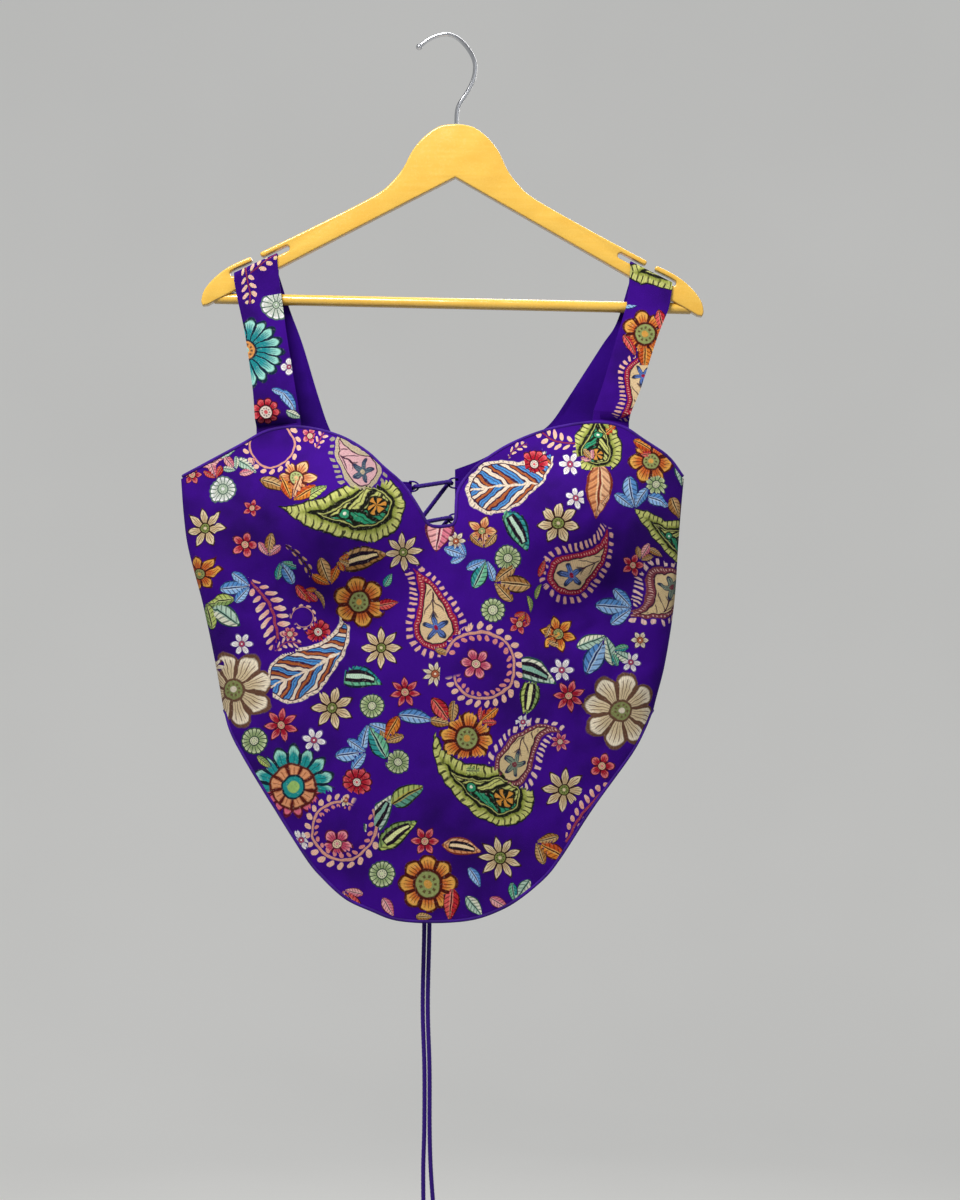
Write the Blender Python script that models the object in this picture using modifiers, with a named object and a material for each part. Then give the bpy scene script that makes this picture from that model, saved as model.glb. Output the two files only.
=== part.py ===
# A choli blouse on its hanger: a sleeveless bustier-style blouse with padded cups, a notched
# sweetheart top edge, a long U-shaped hem, two wide straps through the hanger's slots and a
# lace-up back whose two free ends hang down.
# Metres, +Z up, -Y towards the front. The origin is the inside top of the hook's crook.
import math
from collections import namedtuple

import bmesh
import bpy
from mathutils import Matrix, Vector

# Sizes that drive the whole
CLOTH = 0.002  # thickness of the lined cloth
GAP = 0.0003  # clearance between neighbouring pieces
PIPING_RADIUS = 0.0013
SEAM_FLAT = 0.0015  # each side seam starts with a short stretch square to the side
LACE_RADIUS = 0.002
HANGER_THICKNESS = 0.012
HANGER_EDGE = 0.0015  # rounding of the hanger's edges
HANGER_TILT = math.radians(1.25)  # the right arm hangs lower
DOME_TOP = Vector((0.0074, 0.0, -0.0775))  # the hanger's highest point, under the hook
WIRE_RADIUS = 0.00185

# The bodice's cross-sections from the bust down: centre line, half width, and how far the
# front and back walls stand off the side seams' plane
Section = namedtuple("Section", "z centre half_width front back")
SECTIONS = (
    Section(-0.340, -0.0130, 0.2240, 0.015, 0.012),
    Section(-0.385, -0.0136, 0.2203, 0.022, 0.014),
    Section(-0.418, -0.0139, 0.2176, 0.031, 0.017),
    Section(-0.447, -0.0131, 0.2146, 0.036, 0.020),
    Section(-0.497, -0.0083, 0.2063, 0.040, 0.022),
    Section(-0.551, -0.0068, 0.1964, 0.039, 0.022),
    Section(-0.591, -0.0083, 0.1879, 0.036, 0.020),
    Section(-0.650, -0.0085, 0.1780, 0.031, 0.017),
    Section(-0.700, -0.0085, 0.1680, 0.027, 0.015),
    Section(-0.785, -0.0085, 0.1500, 0.023, 0.013),
)
FRONT_COLUMNS = 32
SEAM_TOP = -0.3850  # the side seams run from here
SEAM_BOTTOM = -0.5909  # to here

# The padded cups: centre, height of the crown, and reach sideways, up and down
Cup = namedtuple("Cup", "x z crown side up down")
CUPS = (
    Cup(-0.099, -0.410, 0.043, 0.100, 0.100, 0.118),
    Cup(0.107, -0.410, 0.043, 0.100, 0.100, 0.118),
)

# Large soft folds of the front: a trough (or, with a minus, a ridge) from one end to the other
Fold = namedtuple("Fold", "x0 z0 x1 z1 width depth")
FOLDS = (
    Fold(-0.150, -0.470, -0.060, -0.535, 0.016, 0.0030),
    Fold(0.065, -0.525, 0.150, -0.478, 0.016, 0.0030),
    Fold(-0.185, -0.520, -0.110, -0.600, 0.014, 0.0018),
    Fold(0.165, -0.530, 0.105, -0.605, 0.014, 0.0018),
    Fold(-0.020, -0.470, -0.012, -0.560, 0.020, 0.0022),
    Fold(-0.060, -0.600, -0.075, -0.720, 0.022, -0.0016),
    Fold(0.045, -0.610, 0.060, -0.730, 0.024, -0.0018),
)

# The front's edges as seen from the front, left to right
Edge = namedtuple("Edge", "x z")
TOP_EDGE = (
    Edge(-0.2339, -0.3850),
    Edge(-0.2175, -0.3769),
    Edge(-0.1836, -0.3592),
    Edge(-0.1606, -0.3465),
    Edge(-0.1407, -0.3422),
    Edge(-0.1234, -0.3427),
    Edge(-0.1017, -0.3475),
    Edge(-0.0843, -0.3545),
    Edge(-0.0669, -0.3659),
    Edge(-0.0539, -0.3781),
    Edge(-0.0383, -0.3919),
    Edge(-0.0275, -0.4070),
    Edge(-0.0205, -0.4187),
    Edge(-0.0141, -0.4282),
    Edge(0.0020, -0.4280),
    Edge(0.0057, -0.4231),
    Edge(0.0078, -0.3989),
    Edge(0.0194, -0.3815),
    Edge(0.0341, -0.3693),
    Edge(0.0539, -0.3572),
    Edge(0.0799, -0.3466),
    Edge(0.1059, -0.3405),
    Edge(0.1319, -0.3378),
    Edge(0.1536, -0.3421),
    Edge(0.1711, -0.3532),
    Edge(0.1924, -0.3675),
    Edge(0.2067, -0.3850),
)
NOTCH = (-0.045, 0.024)  # the stretch of the top edge round the notch
NOTCH_STEPS = 16
HEM = (
    Edge(-0.1962, -0.5909),
    Edge(-0.1911, -0.6072),
    Edge(-0.1800, -0.6277),
    Edge(-0.1526, -0.6716),
    Edge(-0.1245, -0.7155),
    Edge(-0.1098, -0.7336),
    Edge(-0.0888, -0.7526),
    Edge(-0.0671, -0.7628),
    Edge(-0.0464, -0.7706),
    Edge(-0.0195, -0.7732),
    Edge(0.0116, -0.7720),
    Edge(0.0349, -0.7667),
    Edge(0.0575, -0.7560),
    Edge(0.0826, -0.7362),
    Edge(0.0987, -0.7164),
    Edge(0.1279, -0.6716),
    Edge(0.1604, -0.6277),
    Edge(0.1722, -0.6072),
    Edge(0.1796, -0.5909),
)

# Each back panel with its rear strap, from the slot down: its side edge, its inner edge and
# how far the strap hangs behind the hanger's middle plane
BackRow = namedtuple("BackRow", "side_x side_z inner_x inner_z y")
BACK_LEFT = (
    BackRow(-0.1775, -0.2500, -0.1390, -0.2390, 0.0085),
    BackRow(-0.1735, -0.2700, -0.1280, -0.2690, 0.0100),
    BackRow(-0.1668, -0.3128, -0.1149, -0.3128, 0.0125),
    BackRow(-0.1640, -0.3400, -0.1044, -0.3436, 0.0140),
    BackRow(-0.1705, -0.3620, -0.0912, -0.3656, 0.0140),
    BackRow(-0.1900, -0.3770, -0.0736, -0.3805, 0.0140),
    BackRow(-0.2150, -0.3845, -0.0540, -0.3875, 0.0140),
    BackRow(-0.2337, -0.3890, -0.0321, -0.3895, 0.0140),
)
BACK_RIGHT = (
    BackRow(0.1868, -0.2500, 0.1480, -0.2500, 0.0085),
    BackRow(0.1790, -0.2700, 0.1350, -0.2700, 0.0100),
    BackRow(0.1648, -0.3128, 0.1074, -0.3128, 0.0125),
    BackRow(0.1560, -0.3400, 0.0880, -0.3400, 0.0140),
    BackRow(0.1590, -0.3600, 0.0678, -0.3506, 0.0140),
    BackRow(0.1730, -0.3735, 0.0450, -0.3615, 0.0140),
    BackRow(0.1920, -0.3820, 0.0260, -0.3710, 0.0140),
    BackRow(0.2064, -0.3880, 0.0059, -0.3785, 0.0140),
)
BACK_HEM_DIP = 0.024  # how much lower the back hem is at the opening than at the side seam
STRAP_TO_BODY = (-0.330, -0.383)  # between these heights the strap's form turns into the body's

# The front straps from behind the cup's top edge up to the hanger
StrapRow = namedtuple("StrapRow", "left_x left_z right_x right_z y")
STRAP_LEFT = (
    StrapRow(-0.1672, -0.3360, -0.1285, -0.3330, -0.0190),
    StrapRow(-0.1697, -0.3072, -0.1326, -0.3084, -0.0172),
    StrapRow(-0.1763, -0.2635, -0.1385, -0.2745, -0.0120),
    StrapRow(-0.1831, -0.2329, -0.1455, -0.2264, -0.0086),
)
STRAP_RIGHT = (
    StrapRow(0.1265, -0.3295, 0.1585, -0.3320, -0.0182),
    StrapRow(0.1345, -0.3072, 0.1680, -0.3084, -0.0172),
    StrapRow(0.1475, -0.2635, 0.1823, -0.2650, -0.0120),
    StrapRow(0.1560, -0.2360, 0.1925, -0.2400, -0.0086),
)
STRAP_TUCK = 0.021  # how far a strap runs on below its lowest row, behind the cup
SLOT_SPAN_LEFT = (-0.1865, -0.1490)  # where the straps lie in the slots
SLOT_SPAN_RIGHT = (0.1592, 0.1955)
# A strap's way over the slot's floor: y, and height over the floor's middle line
OverSlot = namedtuple("OverSlot", "y rise")
OVER_SLOT = (
    OverSlot(-0.0077, -0.0050),
    OverSlot(-0.0076, -0.0010),
    OverSlot(-0.0066, 0.0010),
    OverSlot(-0.0048, 0.0017),
    OverSlot(0.0048, 0.0017),
    OverSlot(0.0066, 0.0010),
    OverSlot(0.0076, -0.0010),
    OverSlot(0.0077, -0.0140),
)

# The lace-up back
ROWS = 7
ROW_PITCH = 0.0315
LEFT_OPENING = -0.0321  # the back panels' edges
RIGHT_OPENING = 0.0059
LEFT_FIRST_ROW = -0.3935
RIGHT_FIRST_ROW = -0.3905
LOOP_REACH = 0.0062  # from a panel's edge to the loop thread's middle
LOOP_HALF_HEIGHT = 0.0044
LOOP_THREAD = 0.0008  # radius
LOOP_STEPS = 6
LOOP_ROOT = 0.0025  # how far a loop's ends run on inside its strip
TAPE_WIDTH = 0.008
TAPE_THICKNESS = 0.0012
TAPE_CLEAR = 0.0008  # between a loop strip and the lining
LACE_TURN = 0.0032  # radius at which the lace turns round a loop's thread
KNOT = Vector((-0.0189, 0.0, -0.5927))  # its y is worked out from the loops
KNOT_RADIUS = 0.005
TAIL_SPREAD = 0.00218  # half the distance between the two free ends where they start

# The two free lace ends below the knot: middle of the left one, of the right one, and y
# behind the knot
Tail = namedtuple("Tail", "z left_x right_x y")
TAILS = (
    Tail(-0.640, -0.0214, -0.0169, 0.0004),
    Tail(-0.700, -0.0212, -0.0167, 0.0008),
    Tail(-0.780, -0.0213, -0.0168, 0.0004),
    Tail(-0.852, -0.0227, -0.0182, -0.0004),
    Tail(-0.908, -0.0212, -0.0167, -0.0006),
    Tail(-0.960, -0.0213, -0.0166, -0.0002),
    Tail(-0.993, -0.0222, -0.0158, 0.0004),
    Tail(-1.020, -0.0222, -0.0141, 0.0006),
)
LEFT_TAIL_END = Tail(-1.038, -0.0219, -0.0128, 0.0006)
RIGHT_TAIL_END = Tail(-1.046, -0.0215, -0.0118, 0.0006)
# The knot on a free end as swellings of the cord: distance from the end, times its radius
END_KNOT = ((0.0, 0.75), (0.0015, 1.45), (0.004, 1.95), (0.0065, 1.85), (0.009, 1.3), (0.011, 1.0))

# The hanger's right half, in its own frame: out from its middle, down from its top
Arm = namedtuple("Arm", "out down")
ARM_TOP = (
    Arm(0.0, 0.0),
    Arm(0.0095, 0.0010),
    Arm(0.0175, 0.0038),
    Arm(0.0280, 0.0118),
    Arm(0.0377, 0.0237),
    Arm(0.0456, 0.0394),
    Arm(0.0543, 0.0508),
    Arm(0.0657, 0.0613),
    Arm(0.0876, 0.0740),
    Arm(0.1200, 0.0911),
    Arm(0.1490, 0.1060),
    Arm(0.1664, 0.1148),
    Arm(0.1796, 0.1209),
    Arm(0.1962, 0.1292),
    Arm(0.2090, 0.1395),
    Arm(0.2172, 0.1500),
    Arm(0.2196, 0.1590),
    Arm(0.2185, 0.1635),
)
ARM_UNDER_APEX = 0.0467  # the lower edge's height in the middle
ARM_UNDER_SLOPE = 0.542
ARM_TIP = Arm(0.2145, 0.1630)
SLOT_BELOW_TOP = 0.0068  # the slot's middle line under the arm's top edge
SLOT_HALF = 0.0025
SLOT_FROM = 0.1445
SLOT_TO = 0.1936
SLOT_MOUTH = (0.1690, 0.1762)  # where the slot opens through the top edge
FINGER_ROUND = 0.0019
BAR_RADIUS = 0.00485
BAR_DOWN = 0.1565
BAR_HALF_LENGTH = 0.2085
BORE_DEPTH = 0.014  # how far the hook's wire goes into the wood

# The hook's wire from its tip round to the wood
Wire = namedtuple("Wire", "x z")
HOOK = (
    Wire(-0.0272, -0.0110),
    Wire(-0.0222, -0.0063),
    Wire(-0.0166, -0.0024),
    Wire(-0.0085, 0.0011),
    Wire(0.0, 0.0019),
    Wire(0.0080, -0.0012),
    Wire(0.0152, -0.0078),
    Wire(0.0213, -0.0171),
    Wire(0.0237, -0.0265),
    Wire(0.0219, -0.0381),
    Wire(0.0166, -0.0491),
    Wire(0.0098, -0.0595),
    Wire(0.0077, -0.0670),
    Wire(0.0074, -0.0775),
)
# The ball at the hook's tip as swellings of the wire: distance from the tip, times its radius
HOOK_BALL = ((0.0, 0.45), (0.0005, 0.95), (0.0014, 1.35), (0.0028, 1.5), (0.0042, 1.3), (0.0052, 1.0))


def clean_scene():
    for old in list(bpy.data.objects):
        bpy.data.objects.remove(old)
    parts = bpy.data.collections.new("choli_blouse")
    cutters = bpy.data.collections.new("cutters")
    bpy.context.scene.collection.children.link(parts)
    bpy.context.scene.collection.children.link(cutters)
    return parts, cutters


def material(name, colour, roughness, metallic=0.0):
    made = bpy.data.materials.new(name)
    made.use_nodes = True
    shader = made.node_tree.nodes["Principled BSDF"]
    shader.inputs["Base Color"].default_value = (*colour, 1.0)
    shader.inputs["Roughness"].default_value = roughness
    shader.inputs["Metallic"].default_value = metallic
    made.diffuse_color = (*colour, 1.0)
    return made


def lerp(a, b, share):
    return a + (b - a) * share


def smoothstep(low, high, value):
    share = min(1.0, max(0.0, (value - low) / (high - low)))
    return share * share * (3.0 - 2.0 * share)


def smooth_path(points, steps=10):
    """A smooth curve through the points, with equal steps between each two."""
    points = [Vector(point) for point in points]
    path = []
    for i in range(len(points) - 1):
        before = points[i - 1] if i > 0 else points[i] * 2 - points[i + 1]
        after = points[i + 2] if i + 2 < len(points) else points[i + 1] * 2 - points[i]
        for step in range(steps):
            t = step / steps
            path.append(
                0.5
                * (
                    2 * points[i]
                    + (points[i + 1] - before) * t
                    + (2 * before - 5 * points[i] + 4 * points[i + 1] - after) * t**2
                    + (3 * points[i] - before - 3 * points[i + 1] + after) * t**3
                )
            )
    path.append(points[-1])
    return path


def lengths_along(path):
    along = [0.0]
    for a, b in zip(path, path[1:]):
        along.append(along[-1] + (b - a).length)
    return along


def at_length(path, along, distance):
    """The point that lies the distance along a path."""
    for i in range(len(along) - 1):
        if distance <= along[i + 1]:
            span = along[i + 1] - along[i]
            return path[i].lerp(path[i + 1], (distance - along[i]) / span if span else 0.0)
    return path[-1].copy()


def evenly(path, count):
    """So many points, evenly along a path."""
    along = lengths_along(path)
    return [at_length(path, along, along[-1] * i / (count - 1)) for i in range(count)]


def set_back(path, distance):
    """A path in the plane moved to its right-hand side, such as down from a top edge."""
    moved = []
    for i, point in enumerate(path):
        ahead = path[min(i + 1, len(path) - 1)] - path[max(i - 1, 0)]
        moved.append(point + Vector((ahead.y, -ahead.x)).normalized() * distance)
    return moved


def section_at(z):
    rows = SECTIONS
    if z >= rows[0].z:
        return rows[0]
    for i in range(len(rows) - 1):
        if z >= rows[i + 1].z:
            before = rows[max(i - 1, 0)]
            after = rows[min(i + 2, len(rows) - 1)]
            span = rows[i + 1].z - rows[i].z
            t = (z - rows[i].z) / span
            values = []
            for p0, p1, p2, p3 in zip(before, rows[i], rows[i + 1], after):
                start = (p2 - p0) / (rows[i + 1].z - before.z) * span
                end = (p3 - p1) / (after.z - rows[i].z) * span
                a = 2 * t**3 - 3 * t**2 + 1
                b = t**3 - 2 * t**2 + t
                values.append(a * p1 + b * start + (1 - a) * p2 + (t**3 - t**2) * end)
            return Section(*values)
    return rows[-1]


def across_at(x, z):
    """How far across the bodice a point is, from -1 at the left side to 1 at the right."""
    section = section_at(z)
    return min(1.0, max(-1.0, (x - section.centre) / section.half_width))


def side_x(z, side):
    section = section_at(z)
    return section.centre + side * section.half_width


def roundness(across):
    return (1.0 - abs(across) ** 2.3) ** (1 / 2.3)


def cup_height(x, z):
    height = 0.0
    for cup in CUPS:
        reach = cup.up if z > cup.z else cup.down
        away = math.hypot((x - cup.x) / cup.side, (z - cup.z) / reach)
        if away < 1.0:
            height += cup.crown * 0.5 * (1.0 + math.cos(math.pi * away))
    return height


def fold_depth(x, z):
    depth = 0.0
    point = Vector((x, z))
    for fold in FOLDS:
        start = Vector((fold.x0, fold.z0))
        run = Vector((fold.x1, fold.z1)) - start
        share = (point - start).dot(run) / run.length_squared
        near = start + run * min(1.0, max(0.0, share))
        off = (point - near).length / fold.width
        fades = smoothstep(-0.25, 0.3, share) * smoothstep(1.25, 0.7, share)
        depth += fold.depth * math.exp(-off * off) * fades
    return depth


def front_y(x, z):
    """The front's outer face."""
    out = section_at(z).front * roundness(across_at(x, z)) + cup_height(x, z) - fold_depth(x, z)
    return -SEAM_FLAT - max(0.0, out)


def back_y(x, z):
    """The back's outer face below the straps."""
    return SEAM_FLAT + section_at(z).back * roundness(across_at(x, z))


def front_inside(x, z, depth):
    """A point that lies the depth inside the front's outer face."""
    step = 0.001
    slope_x = (front_y(x + step, z) - front_y(x - step, z)) / (2 * step)
    slope_z = (front_y(x, z + step) - front_y(x, z - step)) / (2 * step)
    inwards = Vector((-slope_x, 1.0, -slope_z)).normalized()
    return Vector((x, front_y(x, z), z)) + inwards * depth


def add_object(name, mesh, look, collection):
    mesh.materials.clear()
    mesh.materials.append(look)
    made = bpy.data.objects.new(name, mesh)
    collection.objects.link(made)
    return made


def cloth_wall(name, rows, look, collection, thickness=CLOTH, offset=-1.0):
    """A wall of cloth on a grid of points. Each row runs along the wall, the last row on top."""
    columns = len(rows[0])
    mesh = bpy.data.meshes.new(name)
    bm = bmesh.new()
    bmesh.ops.create_grid(bm, x_segments=columns - 1, y_segments=len(rows) - 1, size=1.0)
    for vert in bm.verts:
        column = round((vert.co.x + 1.0) / 2.0 * (columns - 1))
        row = round((vert.co.y + 1.0) / 2.0 * (len(rows) - 1))
        vert.co = rows[row][column]
    bm.to_mesh(mesh)
    bm.free()
    mesh.shade_smooth()
    made = add_object(name, mesh, look, collection)
    solidify = made.modifiers.new("thickness", "SOLIDIFY")
    solidify.thickness = thickness
    solidify.offset = offset
    solidify.use_even_offset = True
    return made


def tube(name, path, radius, look, collection, swellings=(), sides=2):
    """A round cord or wire. Swellings are pairs of distance from its last point and size."""
    curve = bpy.data.curves.new(name, "CURVE")
    curve.dimensions = "3D"
    curve.bevel_depth = radius
    curve.bevel_resolution = sides
    curve.use_fill_caps = True
    along = lengths_along(path)
    total = along[-1]
    plain_to = total - swellings[-1][0] * 1.1 if swellings else total
    points = [(point, 1.0) for point, at in zip(path, along) if at <= plain_to]
    for from_end, size in reversed(swellings):
        points.append((at_length(path, along, total - from_end), size))
    spline = curve.splines.new("POLY")
    spline.points.add(len(points) - 1)
    for target, (point, size) in zip(spline.points, points):
        target.co = (*point, 1.0)
        target.radius = size
    made = bpy.data.objects.new(name, curve)
    made.data.materials.append(look)
    collection.objects.link(made)
    return made


def as_mesh(source, collection):
    """The same object as a welded mesh, so that it can be cut or joined."""
    graph = bpy.context.evaluated_depsgraph_get()
    mesh = bpy.data.meshes.new_from_object(source.evaluated_get(graph))
    bm = bmesh.new()
    bm.from_mesh(mesh)
    bmesh.ops.remove_doubles(bm, verts=bm.verts, dist=0.00001)
    bm.to_mesh(mesh)
    bm.free()
    made = bpy.data.objects.new(source.name + "_mesh", mesh)
    made.matrix_world = source.matrix_world.copy()
    collection.objects.link(made)
    name = source.name
    bpy.data.objects.remove(source)
    made.name = name
    return made


def cut(target, cutter):
    cutter.hide_render = True
    cutter.display_type = "WIRE"
    boolean = target.modifiers.new("cut " + cutter.name, "BOOLEAN")
    boolean.operation = "DIFFERENCE"
    boolean.object = cutter


def front_stations(top, count):
    """Shares of the way across the front, closer together at the sides and in the notch."""
    along = lengths_along(top)
    near_notch = [at / along[-1] for point, at in zip(top, along) if NOTCH[0] < point.x < NOTCH[1]]
    start, end = near_notch[0], near_notch[-1]
    inner = [lerp(i / count, 0.5 - 0.5 * math.cos(math.pi * i / count), 0.45) for i in range(1, count)]
    inner = [share for share in inner if not start - 0.008 < share < end + 0.008]
    inner += [lerp(start, end, i / NOTCH_STEPS) for i in range(NOTCH_STEPS + 1)]
    return [0.0, 0.0, 0.004] + sorted(inner) + [0.996, 1.0, 1.0]


def edge_path(edges, into_cloth, seam_z, seam_step):
    """A front edge moved into the cloth, ending on the side seams."""
    path = set_back(smooth_path(edges), into_cloth)
    for end, side in ((0, -1), (-1, 1)):
        z = seam_z + seam_step
        path[end] = Vector((side_x(z, side), z))
    return path


def front_edges():
    """The front wall's top edge and hem, at the same stations across."""
    inset = 2 * PIPING_RADIUS + GAP
    top = edge_path(TOP_EDGE, inset, SEAM_TOP, -inset)
    hem = edge_path(HEM, -inset, SEAM_BOTTOM, inset)
    stations = front_stations(top, FRONT_COLUMNS)
    edges = []
    for path in (top, hem):
        along = lengths_along(path)
        edges.append([at_length(path, along, along[-1] * share) for share in stations])
    return edges


def make_front(look, collection, rows=25):
    top, hem = front_edges()
    grid = []
    for row in range(rows + 1):
        up = row / rows
        line = []
        for column, (upper, lower) in enumerate(zip(top, hem)):
            z = lerp(lower.y, upper.y, up)
            across = lerp(across_at(*lower), across_at(*upper), up)
            section = section_at(z)
            x = section.centre + section.half_width * across
            y = front_y(x, z)
            if column in (0, len(top) - 1):
                y = -GAP / 2
            line.append(Vector((x, y, z)))
        grid.append(line)
    return cloth_wall("front", grid, look, collection)


def make_piping(name, edge, outwards, look, collection):
    """Piping beside the wall's edge, from one side seam to the other."""
    edge = edge[1:-1]
    points = []
    for i in range(1, len(edge) - 1):
        before = (edge[i] - edge[i - 1]).normalized()
        after = (edge[i + 1] - edge[i]).normalized()
        mitre = Vector((-(before.y + after.y), before.x + after.x)).normalized()
        widen = 1.0 / max(0.5, mitre.dot(Vector((-before.y, before.x))))
        point = edge[i] + mitre * (outwards * (PIPING_RADIUS + GAP) * widen)
        points.append(front_inside(point.x, point.y, CLOTH / 2))
    return tube(name, points, PIPING_RADIUS, look, collection)


def slot_floor(x):
    """The height of the slot's floor at a place along either arm."""
    side = 1 if x > DOME_TOP.x else -1
    floor = set_back_down(smooth_path(ARM_TOP, 4), SLOT_BELOW_TOP + SLOT_HALF)
    point = on_path(floor, abs(x - DOME_TOP.x))
    out = abs(x - DOME_TOP.x) + side * point.y * math.sin(HANGER_TILT)
    point = on_path(floor, out)
    return DOME_TOP.z - point.y - side * math.sin(HANGER_TILT) * out


def strap_across(left, right, count, y):
    """Points across a strap between its edges in the plane, at one distance to the back."""
    places = [left.lerp(right, i / count) for i in range(count + 1)]
    return [Vector((place.x, y, place.y)) for place in places]


def make_front_strap(name, rows, span, look, collection, columns=6):
    stations = smooth_path([(r.left_x, r.left_z, r.right_x, r.right_z, r.y) for r in rows], 3)
    grid = []
    lowest = stations[0]
    behind_cup = CLOTH + PIPING_RADIUS + 2 * GAP
    for share in (1.0, 0.68, 0.34):
        down = Vector((0.0, -STRAP_TUCK * share))
        left = Vector(lowest[0:2]) + down
        right = Vector(lowest[2:4]) + down
        line = strap_across(left, right, columns, 0.0)
        grid.append([front_inside(point.x, point.z, behind_cup) for point in line])
    for station in stations:
        grid.append(strap_across(Vector(station[0:2]), Vector(station[2:4]), columns, station[4]))
    for step in OVER_SLOT:
        floors = [slot_floor(x) for x in span]
        left = Vector((span[0], floors[0] + step.rise))
        right = Vector((span[1], floors[1] + step.rise))
        grid.append(strap_across(left, right, columns, step.y))
    return cloth_wall(name, grid, look, collection, offset=0.0)


def back_rows(table, span, opening, side):
    """The side and inner ends of each row of a back panel, and its y while it is strap."""
    side_end, inner_end = (span[0], span[1]) if side < 0 else (span[1], span[0])
    top = OVER_SLOT[-1].rise - GAP
    first = (side_end, slot_floor(side_end) + top, inner_end, slot_floor(inner_end) + top, OVER_SLOT[-1].y)
    stations = smooth_path([first] + [tuple(row) for row in table], 2)
    start = table[-1]
    body_rows = 11
    for i in range(1, body_rows + 1):
        down = i / body_rows
        side_z = lerp(start.side_z, SEAM_BOTTOM, down)
        inner_z = lerp(start.inner_z, SEAM_BOTTOM - BACK_HEM_DIP, down)
        stations.append(Vector((side_x(side_z, side), side_z, opening, inner_z, start.y)))
    return stations


def make_back(name, table, span, opening, side, look, collection, columns=9):
    shares = [lerp(i / columns, 1.0 - math.cos(math.pi / 2 * i / columns), 0.6) for i in range(1, columns + 1)]
    grid = []
    for side_edge_x, side_z, inner_x, inner_z, strap_y in back_rows(table, span, opening, side):
        seam = smoothstep(table[-2].side_z, table[-1].side_z, side_z)
        line = []
        for share in [0.0, 0.0] + shares:
            x = lerp(side_edge_x, inner_x, share)
            z = lerp(side_z, inner_z, share)
            body = smoothstep(STRAP_TO_BODY[0], STRAP_TO_BODY[1], z)
            y = lerp(strap_y, back_y(x, z), body)
            line.append(Vector((x, y, z)))
        # The first stretch is square to the side at the seam, and flat above it
        line[0].y = lerp(line[0].y, GAP / 2, seam)
        line[1].x -= side * SEAM_FLAT * (1.0 - seam)
        # Seen from behind, a row runs from left to right
        grid.append(line if side > 0 else line[::-1])
    return cloth_wall(name, grid[::-1], look, collection)


def loop_rows(first):
    return [first - i * ROW_PITCH for i in range(ROWS)]


def loop_y(opening, z):
    """The middle plane of a loop strip: just inside the back panel's lining."""
    return back_y(opening, z) - CLOTH - TAPE_CLEAR - TAPE_THICKNESS / 2


def make_loop_tape(name, opening, side, first_row, look, collection, cutters):
    """A strip on the panel's inner face with its loops towards the middle."""
    rows = loop_rows(first_row)
    strip_top = rows[0] + LOOP_HALF_HEIGHT * 0.4
    strip_bottom = rows[-1] - LOOP_HALF_HEIGHT * 2
    away = side * TAPE_WIDTH
    grid = []
    steps = 12
    for i in range(steps + 1):
        z = lerp(strip_bottom, strip_top, i / steps)
        xs = sorted((opening, opening + away))
        grid.append([Vector((x, loop_y(opening, z) - abs(x - opening) * 0.02, z)) for x in xs])
    strip = cloth_wall(name, grid, look, collection, thickness=TAPE_THICKNESS, offset=0.0)
    loops = []
    for z in rows:
        y = loop_y(opening, z)
        turn = []
        for i in range(LOOP_STEPS + 1):
            angle = math.pi * i / LOOP_STEPS
            x = opening - side * LOOP_REACH * math.sin(angle)
            turn.append(Vector((x, y, z + LOOP_HALF_HEIGHT * math.cos(angle))))
        root = Vector((side * LOOP_ROOT, 0.0, 0.0))
        turn = [turn[0] + root] + turn + [turn[-1] + root]
        loops.append(as_mesh(tube("loop", turn, LOOP_THREAD, look, cutters, sides=0), cutters))
    merged = bmesh.new()
    for loop in loops:
        merged.from_mesh(loop.data)
        bpy.data.objects.remove(loop)
    mesh = bpy.data.meshes.new(name + "_loops")
    merged.to_mesh(mesh)
    merged.free()
    joined = add_object(name + "_loops", mesh, look, cutters)
    joined.hide_render = True
    joined.display_type = "WIRE"
    union = strip.modifiers.new("loops", "BOOLEAN")
    union.operation = "UNION"
    union.object = joined
    return strip


def knot_centre():
    return Vector((KNOT.x, loop_y(LEFT_OPENING, KNOT.z) + 0.003, KNOT.z))


def round_loop(opening, side, z, drop, to_inside):
    """The lace's turn round one loop's thread, through the loop between panel and thread."""
    tip = opening - side * LOOP_REACH
    y = loop_y(opening, z)
    turn = []
    for i in range(5):
        angle = math.pi * i / 4
        towards = -1 if to_inside else 1
        turn.append(
            Vector(
                (
                    tip + side * LACE_TURN * math.sin(angle),
                    y - towards * LACE_TURN * math.cos(angle),
                    z + drop * (0.5 - i / 4),
                )
            )
        )
    return turn


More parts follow.
